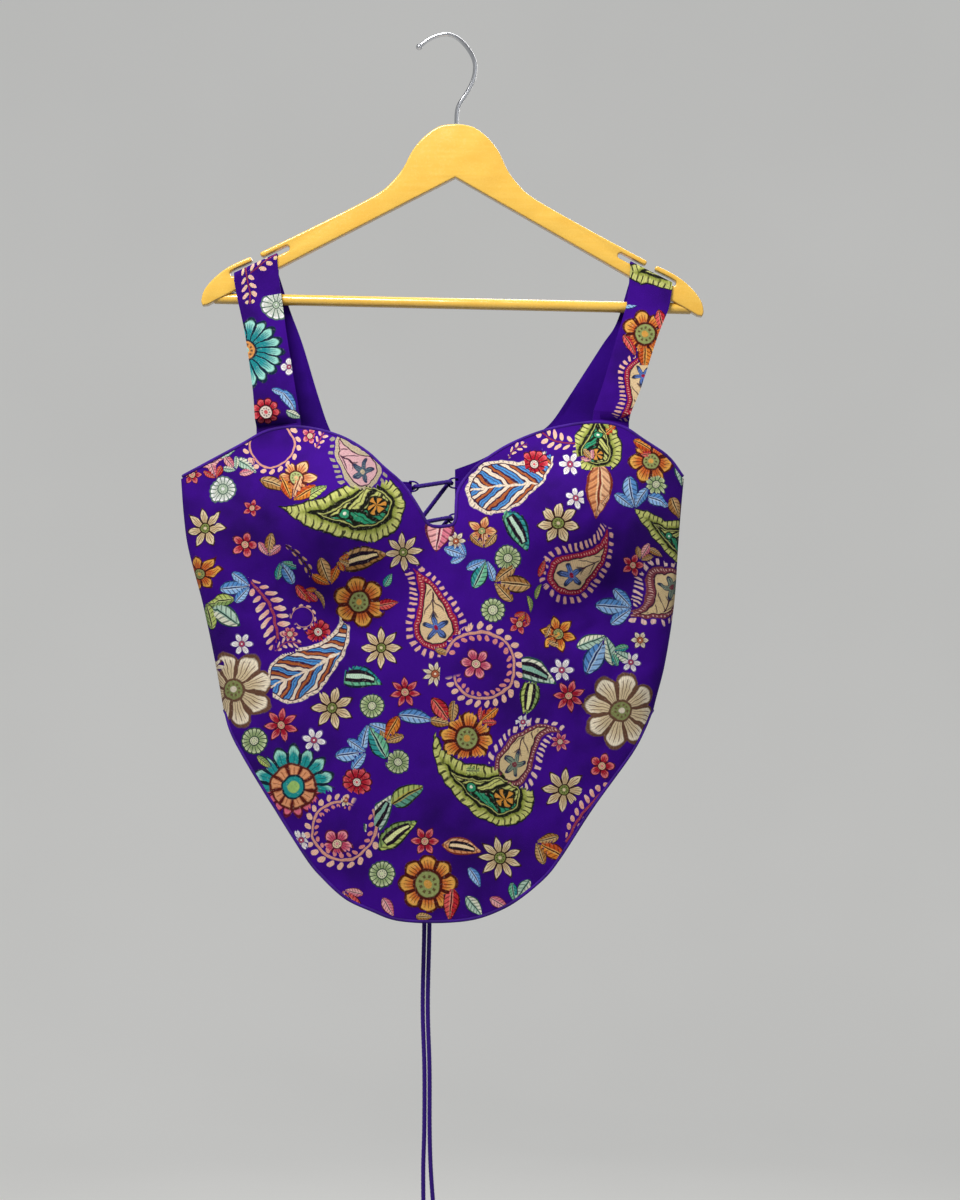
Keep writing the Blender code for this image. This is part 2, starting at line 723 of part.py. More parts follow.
def lace_points():
    """Up behind the left panel, then from loop to loop down to the knot."""
    left_rows = loop_rows(LEFT_FIRST_ROW)
    right_rows = loop_rows(RIGHT_FIRST_ROW)
    knot = knot_centre()
    run_x = LEFT_OPENING - 0.0065
    outside = TAPE_THICKNESS / 2 + TAPE_CLEAR + CLOTH  # the panel's outer face behind the loops
    points = [
        knot + Vector((-KNOT_RADIUS - GAP - 0.0002, 0.0008, 0.0)),
        knot + Vector((-0.0100, 0.0030, 0.0003)),
        Vector((run_x + 0.0030, loop_y(LEFT_OPENING, KNOT.z) + outside + 0.0030, KNOT.z + 0.0015)),
    ]
    run_from = KNOT.z + 0.008
    run_to = left_rows[0] - 0.010
    for i in range(9):
        z = lerp(run_from, run_to, i / 8)
        points.append(Vector((run_x, back_y(run_x, z) + 2 * GAP + LACE_RADIUS, z)))
    y = loop_y(LEFT_OPENING, left_rows[0])
    z = left_rows[0]
    tip = LEFT_OPENING + LOOP_REACH
    points += [
        Vector((run_x + 0.0022, y + outside + 0.0028, z - 0.0035)),
        Vector((LEFT_OPENING + 0.0018, y + outside + 0.0020, z - 0.0008)),
        Vector((tip - LACE_TURN - 0.0001, y + 0.0022, z)),
        Vector((tip - LACE_TURN - 0.0001, y, z)),
        Vector((tip - 0.0021, y - 0.0027, z)),
        Vector((tip, y - LACE_TURN - 0.0001, z)),
    ]
    for i in range(ROWS):
        if i > 0:
            points += round_loop(LEFT_OPENING, -1, left_rows[i], 0.0016, True)
        points += round_loop(RIGHT_OPENING, 1, right_rows[i], 0.0016, False)
    points += [
        knot + Vector((0.0100, 0.0010, 0.0070)),
        knot + Vector((KNOT_RADIUS * 0.72 + 0.0007, 0.0005, KNOT_RADIUS * 0.72 + 0.0004)),
    ]
    return points


def make_knot(look, collection):
    mesh = bpy.data.meshes.new("lace_knot")
    bm = bmesh.new()
    bmesh.ops.create_uvsphere(bm, u_segments=12, v_segments=8, radius=KNOT_RADIUS)
    bm.to_mesh(mesh)
    bm.free()
    mesh.shade_smooth()
    made = add_object("lace_knot", mesh, look, collection)
    made.location = knot_centre()
    return made


def make_lace_end(name, side, end, look, collection):
    knot = knot_centre()
    below = math.sqrt(KNOT_RADIUS**2 - TAIL_SPREAD**2) + GAP + 0.0010
    points = [knot + Vector((side * TAIL_SPREAD, 0.0, -below))]
    for row in TAILS + (end,):
        points.append(Vector((row.left_x if side < 0 else row.right_x, knot.y + row.y, row.z)))
    path = evenly(smooth_path(points, 8), 36)
    return tube(name, path, LACE_RADIUS, look, collection, swellings=END_KNOT)


def arm_outline():
    """The right half of the hanger's outline, from its top round to the apex underneath."""
    top = smooth_path(ARM_TOP, 2)
    middle = [Vector((p.x, p.y)) for p in set_back_down(top, SLOT_BELOW_TOP)]
    roof = between(set_back_down(top, SLOT_BELOW_TOP - SLOT_HALF), SLOT_FROM, SLOT_TO)
    floor = between(set_back_down(top, SLOT_BELOW_TOP + SLOT_HALF), SLOT_FROM, SLOT_TO)
    middle = between(middle, SLOT_FROM, SLOT_TO)
    outline = [p for p in top if p.x < SLOT_MOUTH[0] - FINGER_ROUND]
    # The finger's rounded end, back along the slot's roof, round its inner end, out along its
    # floor, round its outer end and back to the mouth
    mouth_in, mouth_out = SLOT_MOUTH
    finger = (SLOT_BELOW_TOP - SLOT_HALF) / 2
    centre = on_path(set_back_down(top, finger), mouth_in - finger)
    outline += arc(centre, finger, -58, 115, 6)
    outline += [p for p in reversed(roof) if p.x < mouth_in - finger - 0.001]
    outline += arc(middle[0], SLOT_HALF, 305, 125, 5)
    outline += floor[1:-1]
    outline += arc(middle[-1], SLOT_HALF, 118, -62, 5)
    outline += [p for p in reversed(roof) if p.x > mouth_out + finger + 0.001]
    centre = on_path(set_back_down(top, finger), mouth_out + finger)
    outline += arc(centre, finger, 122, 300, 6)
    outline += [p for p in top if p.x > mouth_out + 2 * finger]
    outline.append(Vector(ARM_TIP))
    return outline


def set_back_down(path, distance):
    """An outline with down as its second number, moved down into the wood."""
    return [Vector((p.x, p.y)) for p in set_back(path, -distance)]


def between(path, start, end):
    return [p for p in path if start <= p.x <= end]


def on_path(path, x):
    for a, b in zip(path, path[1:]):
        if a.x <= x <= b.x:
            return a.lerp(b, (x - a.x) / (b.x - a.x))
    return path[-1]


def arc(centre, radius, start, end, steps):
    """Points round a centre by angle in degrees: 0 is outwards, 90 is down."""
    points = []
    for i in range(steps + 1):
        angle = math.radians(lerp(start, end, i / steps))
        points.append(centre + Vector((math.cos(angle), math.sin(angle))) * radius)
    return points


def hanger_place():
    return Matrix.Translation(DOME_TOP) @ Matrix.Rotation(HANGER_TILT, 4, "Y")


def make_hanger(look, collection, cutters):
    half = arm_outline()
    outline = [Vector((p.x, -p.y)) for p in half] + [Vector((0.0, -ARM_UNDER_APEX))]
    outline += [Vector((-p.x, -p.y)) for p in reversed(half[1:])]
    curve = bpy.data.curves.new("hanger_body", "CURVE")
    curve.dimensions = "2D"
    curve.fill_mode = "BOTH"
    curve.extrude = HANGER_THICKNESS / 2 - HANGER_EDGE
    curve.bevel_depth = HANGER_EDGE
    curve.bevel_resolution = 1
    curve.offset = -HANGER_EDGE
    spline = curve.splines.new("POLY")
    spline.points.add(len(outline) - 1)
    for target, point in zip(spline.points, outline):
        target.co = (point.x, point.y, 0.0, 1.0)
    spline.use_cyclic_u = True
    body = bpy.data.objects.new("hanger_body", curve)
    collection.objects.link(body)
    body.matrix_world = hanger_place() @ Matrix.Rotation(math.radians(90), 4, "X")
    bpy.context.view_layer.update()
    body = as_mesh(body, collection)
    body.data.materials.clear()
    body.data.materials.append(look)
    groove = rod("bar_groove", BAR_RADIUS + GAP, BAR_HALF_LENGTH + GAP, look, cutters)
    cut(body, groove)
    bore = rod("hook_bore", WIRE_RADIUS + GAP, BORE_DEPTH, look, cutters)
    bore.matrix_world = hanger_place()
    cut(body, bore)
    return body


def rod(name, radius, half_length, look, collection):
    """A round rod, lying along the bar's place unless it is placed again."""
    mesh = bpy.data.meshes.new(name)
    bm = bmesh.new()
    bmesh.ops.create_cone(
        bm, cap_ends=True, segments=20, radius1=radius, radius2=radius, depth=2 * half_length
    )
    bm.to_mesh(mesh)
    bm.free()
    mesh.shade_smooth()
    mesh.set_sharp_from_angle(angle=math.radians(40))
    made = add_object(name, mesh, look, collection)
    down = Matrix.Translation((0.0, 0.0, -BAR_DOWN))
    made.matrix_world = hanger_place() @ down @ Matrix.Rotation(math.radians(90), 4, "Y")
    return made


def make_hook(look, collection):
    route = [Vector((p.x, 0.0, p.z)) for p in HOOK]
    route.append(DOME_TOP + Vector((0.0, 0.0, -(BORE_DEPTH - 2 * GAP))))
    path = evenly(smooth_path(reversed(route), 8), 44)
    return tube("hanger_hook", path, WIRE_RADIUS, look, collection, swellings=HOOK_BALL)


def main():
    parts, cutters = clean_scene()
    printed = material("printed_cloth", (0.075, 0.006, 0.21), 0.75)
    plain = material("plain_cloth", (0.05, 0.004, 0.17), 0.7)
    cord = material("lace_cord", (0.045, 0.004, 0.16), 0.6)
    wood = material("hanger_wood", (0.78, 0.5, 0.08), 0.35)
    chrome = material("hook_chrome", (0.72, 0.72, 0.74), 0.15, 1.0)

    make_front(printed, parts)
    make_back("back_left", BACK_LEFT, SLOT_SPAN_LEFT, LEFT_OPENING, -1, printed, parts)
    make_back("back_right", BACK_RIGHT, SLOT_SPAN_RIGHT, RIGHT_OPENING, 1, printed, parts)
    make_front_strap("strap_left", STRAP_LEFT, SLOT_SPAN_LEFT, printed, parts)
    make_front_strap("strap_right", STRAP_RIGHT, SLOT_SPAN_RIGHT, printed, parts)
    top, hem = front_edges()
    make_piping("neck_piping", top, 1, plain, parts)
    make_piping("hem_piping", hem, -1, plain, parts)
    make_loop_tape("loop_tape_left", LEFT_OPENING, -1, LEFT_FIRST_ROW, plain, parts, cutters)
    make_loop_tape("loop_tape_right", RIGHT_OPENING, 1, RIGHT_FIRST_ROW, plain, parts, cutters)
    tube("lace", lace_points(), LACE_RADIUS, cord, parts)
    make_knot(cord, parts)
    make_lace_end("lace_end_left", -1, LEFT_TAIL_END, cord, parts)
    make_lace_end("lace_end_right", 1, RIGHT_TAIL_END, cord, parts)
    make_hanger(wood, parts, cutters)
    rod("hanger_bar", BAR_RADIUS, BAR_HALF_LENGTH, wood, parts)
    make_hook(chrome, parts)


main()
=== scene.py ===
import math

import bpy
import numpy as np
from mathutils import Matrix, Vector


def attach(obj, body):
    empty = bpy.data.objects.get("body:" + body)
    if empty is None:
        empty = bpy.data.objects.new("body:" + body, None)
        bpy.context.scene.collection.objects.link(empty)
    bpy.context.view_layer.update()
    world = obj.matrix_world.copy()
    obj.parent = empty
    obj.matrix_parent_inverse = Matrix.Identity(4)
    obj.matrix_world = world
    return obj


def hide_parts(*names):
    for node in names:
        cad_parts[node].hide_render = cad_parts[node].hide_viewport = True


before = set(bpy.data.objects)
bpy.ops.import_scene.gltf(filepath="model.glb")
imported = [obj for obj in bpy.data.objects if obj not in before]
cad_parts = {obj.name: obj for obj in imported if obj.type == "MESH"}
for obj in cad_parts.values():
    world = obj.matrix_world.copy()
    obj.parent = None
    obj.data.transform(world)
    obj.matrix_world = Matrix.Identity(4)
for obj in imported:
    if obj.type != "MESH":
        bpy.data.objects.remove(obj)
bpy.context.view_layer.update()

# The photo's frame: where its pixels lie in the hanger's plane, in metres
photo = {"middleX": 448.0, "topY": 36.5, "pixel": 0.000876}
cameraSizes = {"place": (0.0280, -2.0, -0.4936), "lens": 68.49}


def addCamera():
    bpy.ops.object.camera_add(location=cameraSizes["place"], rotation=(math.pi / 2, 0, 0))
    camera = bpy.context.object
    camera.name = "photoCamera"
    camera.data.lens = cameraSizes["lens"]
    camera.data.sensor_width = 36
    camera.data.clip_end = 40
    bpy.context.scene.camera = camera
    # Print and dye colours come out as they are mixed
    bpy.context.scene.view_settings.view_transform = "Standard"


addCamera()
print("camera placed")


# Small helpers

def linear(code):
    values = [int(code[i:i + 2], 16) / 255 for i in (0, 2, 4)]
    return tuple(v / 12.92 if v <= 0.04045 else ((v + 0.055) / 1.055) ** 2.4 for v in values) + (1.0,)


def mixed(a, b, share):
    return a + (b - a) * share


def smooth(low, high, value):
    share = np.clip((value - low) / (high - low), 0.0, 1.0)
    return share * share * (3.0 - 2.0 * share)


def smoothPath(points, steps=10):
    points = [Vector(point) for point in points]
    path = []
    for i in range(len(points) - 1):
        before = points[i - 1] if i > 0 else points[i] * 2 - points[i + 1]
        after = points[i + 2] if i + 2 < len(points) else points[i + 1] * 2 - points[i]
        for step in range(steps):
            t = step / steps
            path.append(0.5 * (2 * points[i] + (points[i + 1] - before) * t
                               + (2 * before - 5 * points[i] + 4 * points[i + 1] - after) * t ** 2
                               + (3 * points[i] - before - 3 * points[i + 1] + after) * t ** 3))
    path.append(points[-1])
    return path


def lengthsAlong(path):
    along = [0.0]
    for a, b in zip(path, path[1:]):
        along.append(along[-1] + (b - a).length)
    return along


def atLength(path, along, distance):
    i = int(np.searchsorted(along, distance))
    i = min(max(i, 1), len(path) - 1)
    span = along[i] - along[i - 1]
    return path[i - 1].lerp(path[i], min(1.0, (distance - along[i - 1]) / span) if span else 0.0)


def evenly(path, count):
    along = lengthsAlong(path)
    return [atLength(path, along, along[-1] * i / (count - 1)) for i in range(count)]


def setBack(path, distance):
    moved = []
    for i, point in enumerate(path):
        ahead = path[min(i + 1, len(path) - 1)] - path[max(i - 1, 0)]
        moved.append(point + Vector((ahead.y, -ahead.x)).normalized() * distance)
    return moved


def deselect():
    bpy.ops.object.select_all(action="DESELECT")


def pick(piece):
    deselect()
    piece.select_set(True)
    bpy.context.view_layer.objects.active = piece


def applyModifier(piece, kind, **settings):
    pick(piece)
    modifier = piece.modifiers.new(kind.lower(), kind)
    for name, value in settings.items():
        setattr(modifier, name, value)
    bpy.ops.object.modifier_apply(modifier=modifier.name)


def smoothBelow(degrees):
    bpy.ops.object.shade_smooth_by_angle(angle=math.radians(degrees))


def mergeDoubles(piece, distance):
    pick(piece)
    bpy.ops.object.mode_set(mode="EDIT")
    bpy.ops.mesh.select_all(action="SELECT")
    bpy.ops.mesh.remove_doubles(threshold=distance)
    bpy.ops.mesh.normals_make_consistent(inside=False)
    bpy.ops.object.mode_set(mode="OBJECT")


def dress(piece, look):
    piece.data.materials.clear()
    piece.data.materials.append(look)


def finishPiece(piece, replaced):
    pick(piece)
    bpy.ops.object.transform_apply(location=True, rotation=True, scale=True)
    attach(piece, "root")
    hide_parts(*replaced)
    deselect()


def gridPiece(name, rows):
    # A sheet on a grid of points, rows from the bottom up
    deselect()
    down, across = rows.shape[0], rows.shape[1]
    bpy.ops.mesh.primitive_grid_add(x_subdivisions=across - 1, y_subdivisions=down - 1, size=2, calc_uvs=True)
    piece = bpy.context.object
    piece.name = name
    piece.data.name = name
    flat = np.zeros(len(piece.data.vertices) * 3)
    piece.data.vertices.foreach_get("co", flat)
    flat = flat.reshape(-1, 3)
    column = np.rint((flat[:, 0] + 1) / 2 * (across - 1)).astype(int)
    row = np.rint((flat[:, 1] + 1) / 2 * (down - 1)).astype(int)
    piece.data.vertices.foreach_set("co", rows[row, column].ravel())
    piece.data.update()
    return piece, row, column


def loopVertices(mesh):
    found = np.zeros(len(mesh.loops), dtype=np.int32)
    mesh.loops.foreach_get("vertex_index", found)
    return found


def writeUv(mesh, name, perVertex):
    layer = mesh.uv_layers.get(name) or mesh.uv_layers.new(name=name)
    layer.data.foreach_set("uv", perVertex[loopVertices(mesh)].astype(np.float32).ravel())


def tubePiece(name, path, radius, around=14, swellings=(), plies=0, pitch=0.012, groove=0.13):
    # A round cord or wire along a path, closed at both ends, with its length in its UV map
    path = [Vector(point) for point in path]
    along = lengthsAlong(path)
    total = along[-1]
    points = [path[0]] + path + [path[-1]]
    sizes = [0.0] + [1.0] * len(path) + [0.0]
    at = [0.0] + along + [total]
    for i in range(1, len(points) - 1):
        left = total - at[i]
        for (d0, s0), (d1, s1) in zip(swellings, swellings[1:]):
            if d0 <= left <= d1:
                sizes[i] = mixed(s0, s1, (left - d0) / (d1 - d0))
    rows = np.zeros((len(points), around + 1, 3))
    normal = None
    for i, point in enumerate(points):
        ahead = (points[min(i + 2, len(points) - 1)] - points[max(i - 2, 0)]).normalized()
        if normal is None:
            normal = ahead.orthogonal().normalized()
        normal = (normal - ahead * normal.dot(ahead)).normalized()
        side = ahead.cross(normal)
        for j in range(around + 1):
            angle = 2 * math.pi * j / around
            size = radius * sizes[i]
            if plies:
                twist = abs(math.cos(plies / 2 * angle - math.pi * plies * at[i] / pitch))
                size *= 1 - groove + groove * twist ** 0.7
            rows[i, j] = point + (normal * math.cos(angle) + side * math.sin(angle)) * size
    piece, row, column = gridPiece(name, rows)
    uv = np.stack([column * (2 * math.pi * radius / around), np.array(at)[row]], axis=1)
    piece.data.uv_layers[0].name = "cord"
    writeUv(piece.data, "cord", uv)
    mergeDoubles(piece, 0.000004)
    bpy.ops.object.shade_smooth()
    return piece


# The bodice's form, the same sizes as the solids

sections = {  # top to bottom: height, middle, half width, front and back stand-off
    "z": (-0.340, -0.385, -0.418, -0.447, -0.497, -0.551, -0.591, -0.650, -0.700, -0.785),
    "centre": (-0.0130, -0.0136, -0.0139, -0.0131, -0.0083, -0.0068, -0.0083, -0.0085, -0.0085, -0.0085),
    "half": (0.2240, 0.2203, 0.2176, 0.2146, 0.2063, 0.1964, 0.1879, 0.1780, 0.1680, 0.1500),
    "front": (0.015, 0.022, 0.031, 0.036, 0.040, 0.039, 0.036, 0.031, 0.027, 0.023),
    "back": (0.012, 0.014, 0.017, 0.020, 0.022, 0.022, 0.020, 0.017, 0.015, 0.013),
}
cloth = {"wall": 0.002, "gap": 0.0003, "seamFlat": 0.0015, "piping": 0.0013,
         "seamTop": -0.3850, "seamBottom": -0.5909}
cups = (
    {"x": -0.099, "z": -0.410, "crown": 0.043, "side": 0.100, "up": 0.100, "down": 0.118},
    {"x": 0.107, "z": -0.410, "crown": 0.043, "side": 0.100, "up": 0.100, "down": 0.118},
)
folds = (  # from x, z to x, z, width, depth
    (-0.150, -0.470, -0.060, -0.535, 0.016, 0.0030),
    (0.065, -0.525, 0.150, -0.478, 0.016, 0.0030),
    (-0.185, -0.520, -0.110, -0.600, 0.014, 0.0018),
    (0.165, -0.530, 0.105, -0.605, 0.014, 0.0018),
    (-0.020, -0.470, -0.012, -0.560, 0.020, 0.0022),
    (-0.060, -0.600, -0.075, -0.720, 0.022, -0.0016),
    (0.045, -0.610, 0.060, -0.730, 0.024, -0.0018),
)
creases = (  # finer ones that the solids leave out
    (-0.205, -0.395, -0.150, -0.430, 0.0060, 0.0010),
    (-0.212, -0.430, -0.165, -0.452, 0.0065, 0.0008),
    (-0.200, -0.500, -0.160, -0.505, 0.0060, 0.0009),
    (0.190, -0.398, 0.150, -0.425, 0.0060, 0.0010),
    (0.196, -0.470, 0.150, -0.482, 0.0065, 0.0009),
    (0.185, -0.545, 0.140, -0.560, 0.0060, 0.0007),
    (-0.040, -0.440, -0.030, -0.505, 0.0070, 0.0008),
    (0.022, -0.440, 0.016, -0.500, 0.0070, 0.0008),
    (-0.130, -0.520, -0.085, -0.545, 0.0055, 0.0011),
    (0.085, -0.540, 0.130, -0.515, 0.0055, 0.0011),
    (-0.170, -0.590, -0.120, -0.650, 0.0080, 0.0008),
    (0.150, -0.585, 0.118, -0.660, 0.0080, 0.0008),
    (-0.010, -0.690, 0.004, -0.750, 0.0090, 0.0007),
    (-0.110, -0.660, -0.090, -0.730, 0.0070, 0.0006),
)
edges = {
    "top": ((-0.2339, -0.3850), (-0.2175, -0.3769), (-0.1836, -0.3592), (-0.1606, -0.3465),
            (-0.1407, -0.3422), (-0.1234, -0.3427), (-0.1017, -0.3475), (-0.0843, -0.3545),
            (-0.0669, -0.3659), (-0.0539, -0.3781), (-0.0383, -0.3919), (-0.0275, -0.4070),
            (-0.0205, -0.4187), (-0.0141, -0.4282), (0.0020, -0.4280), (0.0057, -0.4231),
            (0.0078, -0.3989), (0.0194, -0.3815), (0.0341, -0.3693), (0.0539, -0.3572),
            (0.0799, -0.3466), (0.1059, -0.3405), (0.1319, -0.3378), (0.1536, -0.3421),
            (0.1711, -0.3532), (0.1924, -0.3675), (0.2067, -0.3850)),
    "hem": ((-0.1962, -0.5909), (-0.1911, -0.6072), (-0.1800, -0.6277), (-0.1526, -0.6716),
            (-0.1245, -0.7155), (-0.1098, -0.7336), (-0.0888, -0.7526), (-0.0671, -0.7628),
            (-0.0464, -0.7706), (-0.0195, -0.7732), (0.0116, -0.7720), (0.0349, -0.7667),
            (0.0575, -0.7560), (0.0826, -0.7362), (0.0987, -0.7164), (0.1279, -0.6716),
            (0.1604, -0.6277), (0.1722, -0.6072), (0.1796, -0.5909)),
}


def sectionAt(z, what):
    heights = np.array(sections["z"])[::-1]
    values = np.array(sections[what])[::-1]
    z = np.clip(np.asarray(z, dtype=float), heights[0], heights[-1])
    i = np.clip(np.searchsorted(heights, z) - 1, 0, len(heights) - 2)
    before = np.maximum(i - 1, 0)
    after = np.minimum(i + 2, len(heights) - 1)
    span = heights[i + 1] - heights[i]
    t = (z - heights[i]) / span
    start = (values[i + 1] - values[before]) / (heights[i + 1] - heights[before]) * span
    end = (values[after] - values[i]) / (heights[after] - heights[i]) * span
    a = 2 * t ** 3 - 3 * t ** 2 + 1
    return (a * values[i] + (t ** 3 - 2 * t ** 2 + t) * start
            + (1 - a) * values[i + 1] + (t ** 3 - t ** 2) * end)


def acrossAt(x, z):
    return np.clip((x - sectionAt(z, "centre")) / sectionAt(z, "half"), -1.0, 1.0)


def sideX(z, side):
    return float(sectionAt(z, "centre") + side * sectionAt(z, "half"))


def roundness(across):
    return np.maximum(0.0, 1.0 - np.abs(across) ** 2.3) ** (1 / 2.3)


def cupHeight(x, z):
    height = 0.0
    for cup in cups:
        reach = np.where(z > cup["z"], cup["up"], cup["down"])
        away = np.minimum(1.0, np.hypot((x - cup["x"]) / cup["side"], (z - cup["z"]) / reach))
        height = height + cup["crown"] * 0.5 * (1.0 + np.cos(np.pi * away))
    return height


def troughs(x, z, table):
    depth = 0.0
    for x0, z0, x1, z1, width, deep in table:
        runX, runZ = x1 - x0, z1 - z0
        share = ((x - x0) * runX + (z - z0) * runZ) / (runX ** 2 + runZ ** 2)
        near = np.clip(share, 0.0, 1.0)
        off = np.hypot(x - x0 - runX * near, z - z0 - runZ * near) / width
        fading = smooth(-0.25, 0.3, share) * (1.0 - smooth(0.7, 1.25, share))
        depth = depth + deep * np.exp(-off * off) * fading
    return depth


def ripple(x, z, seed, size=0.00013):
    # A gentle unevenness that no hung cloth is without
    draw = np.random.default_rng(seed)
    height = 0.0
    for wave in (0.070, 0.052, 0.041, 0.033, 0.026, 0.021, 0.017):
        turn, phase = draw.uniform(0, 2 * np.pi, 2)
        height = height + size * (wave / 0.03) ** 0.8 * np.sin(
            2 * np.pi * (x * np.cos(turn) + z * np.sin(turn)) / wave + phase)
    return height


def frontY(x, z):
    x, z = np.asarray(x, dtype=float), np.asarray(z, dtype=float)
    across = acrossAt(x, z)
    calm = 1.0 - smooth(0.93, 1.0, np.abs(across))  # the side seams stay where the back meets them
    out = sectionAt(z, "front") * roundness(across) + cupHeight(x, z) - troughs(x, z, folds)
    out = out - (troughs(x, z, creases) + ripple(x, z, 4)) * calm
    return -cloth["seamFlat"] - np.maximum(0.0, out)


def backY(x, z):
    x, z = np.asarray(x, dtype=float), np.asarray(z, dtype=float)
    across = acrossAt(x, z)
    return cloth["seamFlat"] + sectionAt(z, "back") * roundness(across)


def frontInside(x, z, depth):
    step = 0.001
    slopeX = (frontY(x + step, z) - frontY(x - step, z)) / (2 * step)
    slopeZ = (frontY(x, z + step) - frontY(x, z - step)) / (2 * step)
    inwards = Vector((-float(slopeX), 1.0, -float(slopeZ))).normalized()
    return Vector((x, float(frontY(x, z)), z)) + inwards * depth


# Cords first: the lace through its loops, its knot and its two free ends

lacing = {
    "rows": 7, "pitch": 0.0315, "left": -0.0321, "right": 0.0059,
    "leftFirst": -0.3935, "rightFirst": -0.3905, "loopReach": 0.0062, "loopHalf": 0.0044,
    "thread": 0.0008, "tape": 0.0012, "tapeWidth": 0.008, "tapeClear": 0.0008, "tapeLean": 0.00016,
    "radius": 0.002, "plies": 3, "plyTurn": 0.011, "turn": 0.0032, "leftLength": 0.440, "rightLength": 0.448,
    "knot": (-0.0189, -0.5927), "knotRadius": 0.005, "knotTurn": 0.00135, "knotStrand": 0.0019,
    "spread": 0.00218, "strandSteps": 120, "endSteps": 300, "zigzagSteps": 620,
}
freeEnds = (  # height, left one, right one, distance behind the knot
    (-0.640, -0.0214, -0.0169, 0.0004), (-0.700, -0.0212, -0.0167, 0.0008),
    (-0.780, -0.0213, -0.0168, 0.0004), (-0.852, -0.0227, -0.0182, -0.0004),
    (-0.908, -0.0212, -0.0167, -0.0006), (-0.960, -0.0213, -0.0166, -0.0002),
    (-0.993, -0.0222, -0.0158, 0.0004), (-1.020, -0.0222, -0.0141, 0.0006),
)
leftEnd = (-1.038, -0.0219, -0.0128, 0.0006)
rightEnd = (-1.046, -0.0215, -0.0118, 0.0006)
endKnot = ((0.0, 0.75), (0.0015, 1.45), (0.004, 1.95), (0.0065, 1.85), (0.009, 1.3), (0.011, 1.0))


def loopRows(first):
    return [first - i * lacing["pitch"] for i in range(lacing["rows"])]


def loopY(opening, z):
    return float(backY(opening, z)) - cloth["wall"] - lacing["tapeClear"] - lacing["tape"] / 2


def knotCentre():
    x, z = lacing["knot"]
    return Vector((x, loopY(lacing["left"], z) + 0.003, z))


def roundLoop(opening, side, z, toInside):
    tip = opening - side * lacing["loopReach"]
    y = loopY(opening, z)
    towards = -1 if toInside else 1
    turn = []
    for i in range(5):
        angle = math.pi * i / 4
        turn.append(Vector((tip + side * lacing["turn"] * math.sin(angle),
                            y - towards * lacing["turn"] * math.cos(angle),
                            z + 0.0016 * (0.5 - i / 4))))
    return turn


def laceRoute():
    leftRows, rightRows = loopRows(lacing["leftFirst"]), loopRows(lacing["rightFirst"])
    knot = knotCentre()
    runX = lacing["left"] - 0.0065
    outside = lacing["tape"] / 2 + lacing["tapeClear"] + cloth["wall"]
    points = [
        knot + Vector((-lacing["knotRadius"] - 0.0005, 0.0008, 0.0)),
        knot + Vector((-0.0100, 0.0030, 0.0003)),
        Vector((runX + 0.0030, loopY(lacing["left"], knot.z) + outside + 0.0030, knot.z + 0.0015)),
    ]
    for i in range(9):
        z = mixed(knot.z + 0.008, leftRows[0] - 0.010, i / 8)
        points.append(Vector((runX, float(backY(runX, z)) + 0.0006 + lacing["radius"], z)))
    y, z = loopY(lacing["left"], leftRows[0]), leftRows[0]
    tip = lacing["left"] + lacing["loopReach"]
    inHole = tip - lacing["turn"] - 0.0001
    points += [
        Vector((runX + 0.0022, y + outside + 0.0028, z - 0.0035)),
        Vector((lacing["left"] + 0.0018, y + outside + 0.0020, z - 0.0008)),
        Vector((inHole, y + 0.0022, z)),
        Vector((inHole, y, z)),
        Vector((tip - 0.0021, y - 0.0027, z)),
        Vector((tip, y - lacing["turn"] - 0.0001, z)),
    ]
    for i in range(lacing["rows"]):
        if i > 0:
            points += roundLoop(lacing["left"], -1, leftRows[i], True)
        points += roundLoop(lacing["right"], 1, rightRows[i], False)
    reach = lacing["knotRadius"] * 0.72
    points.append(knot + Vector((0.0100, 0.0010, 0.0070)))
    points.append(knot + Vector((reach + 0.0007, 0.0005, reach + 0.0004)))
    return points


def freeEndRoute(side, end):
    knot = knotCentre()
    below = math.sqrt(lacing["knotRadius"] ** 2 - lacing["spread"] ** 2) + cloth["gap"] + 0.0010
    points = [knot + Vector((side * lacing["spread"], 0.0, -below))]
    for z, leftX, rightX, y in freeEnds + (end,):
        points.append(Vector((leftX if side < 0 else rightX, knot.y + y, z)))
    return points


def cordPiece(name, route, radius, around, look, node, swellings=()):
    piece = tubePiece(name, route, radius, around, swellings, lacing["plies"], lacing["plyTurn"])
    dress(piece, look)
    finishPiece(piece, [node])
    return piece


def knotRoute():
    # One strand round itself, drawn up tight
    turns = []
    count = lacing["strandSteps"]
    for i in range(count + 1):
        t = 2 * math.pi * i / count
        swing = 2.0 + math.cos(3 * t)
        strand = Vector((swing * math.cos(2 * t), 1.5 * math.sin(3 * t), 1.1 * swing * math.sin(2 * t)))
        turns.append(knotCentre() + strand * lacing["knotTurn"])
    return turns


def addCords(look):
    radius = lacing["radius"]
    for name, side, end, length in (("lace_end_left", -1, leftEnd, lacing["leftLength"]),
                                    ("lace_end_right", 1, rightEnd, lacing["rightLength"])):
        route = evenly(smoothPath(freeEndRoute(side, end), 12), lacing["endSteps"])
        piece = cordPiece(name + "_cord", route, radius, 16, look, name, endKnot)
    zigzag = evenly(smoothPath(laceRoute(), 6), lacing["zigzagSteps"])
    cordPiece("lace_cord_zigzag", zigzag, radius, 16, look, "lace")
    cordPiece("lace_knot_cord", knotRoute(), lacing["knotStrand"], 14, look, "lace_knot")


# Drawing with nodes

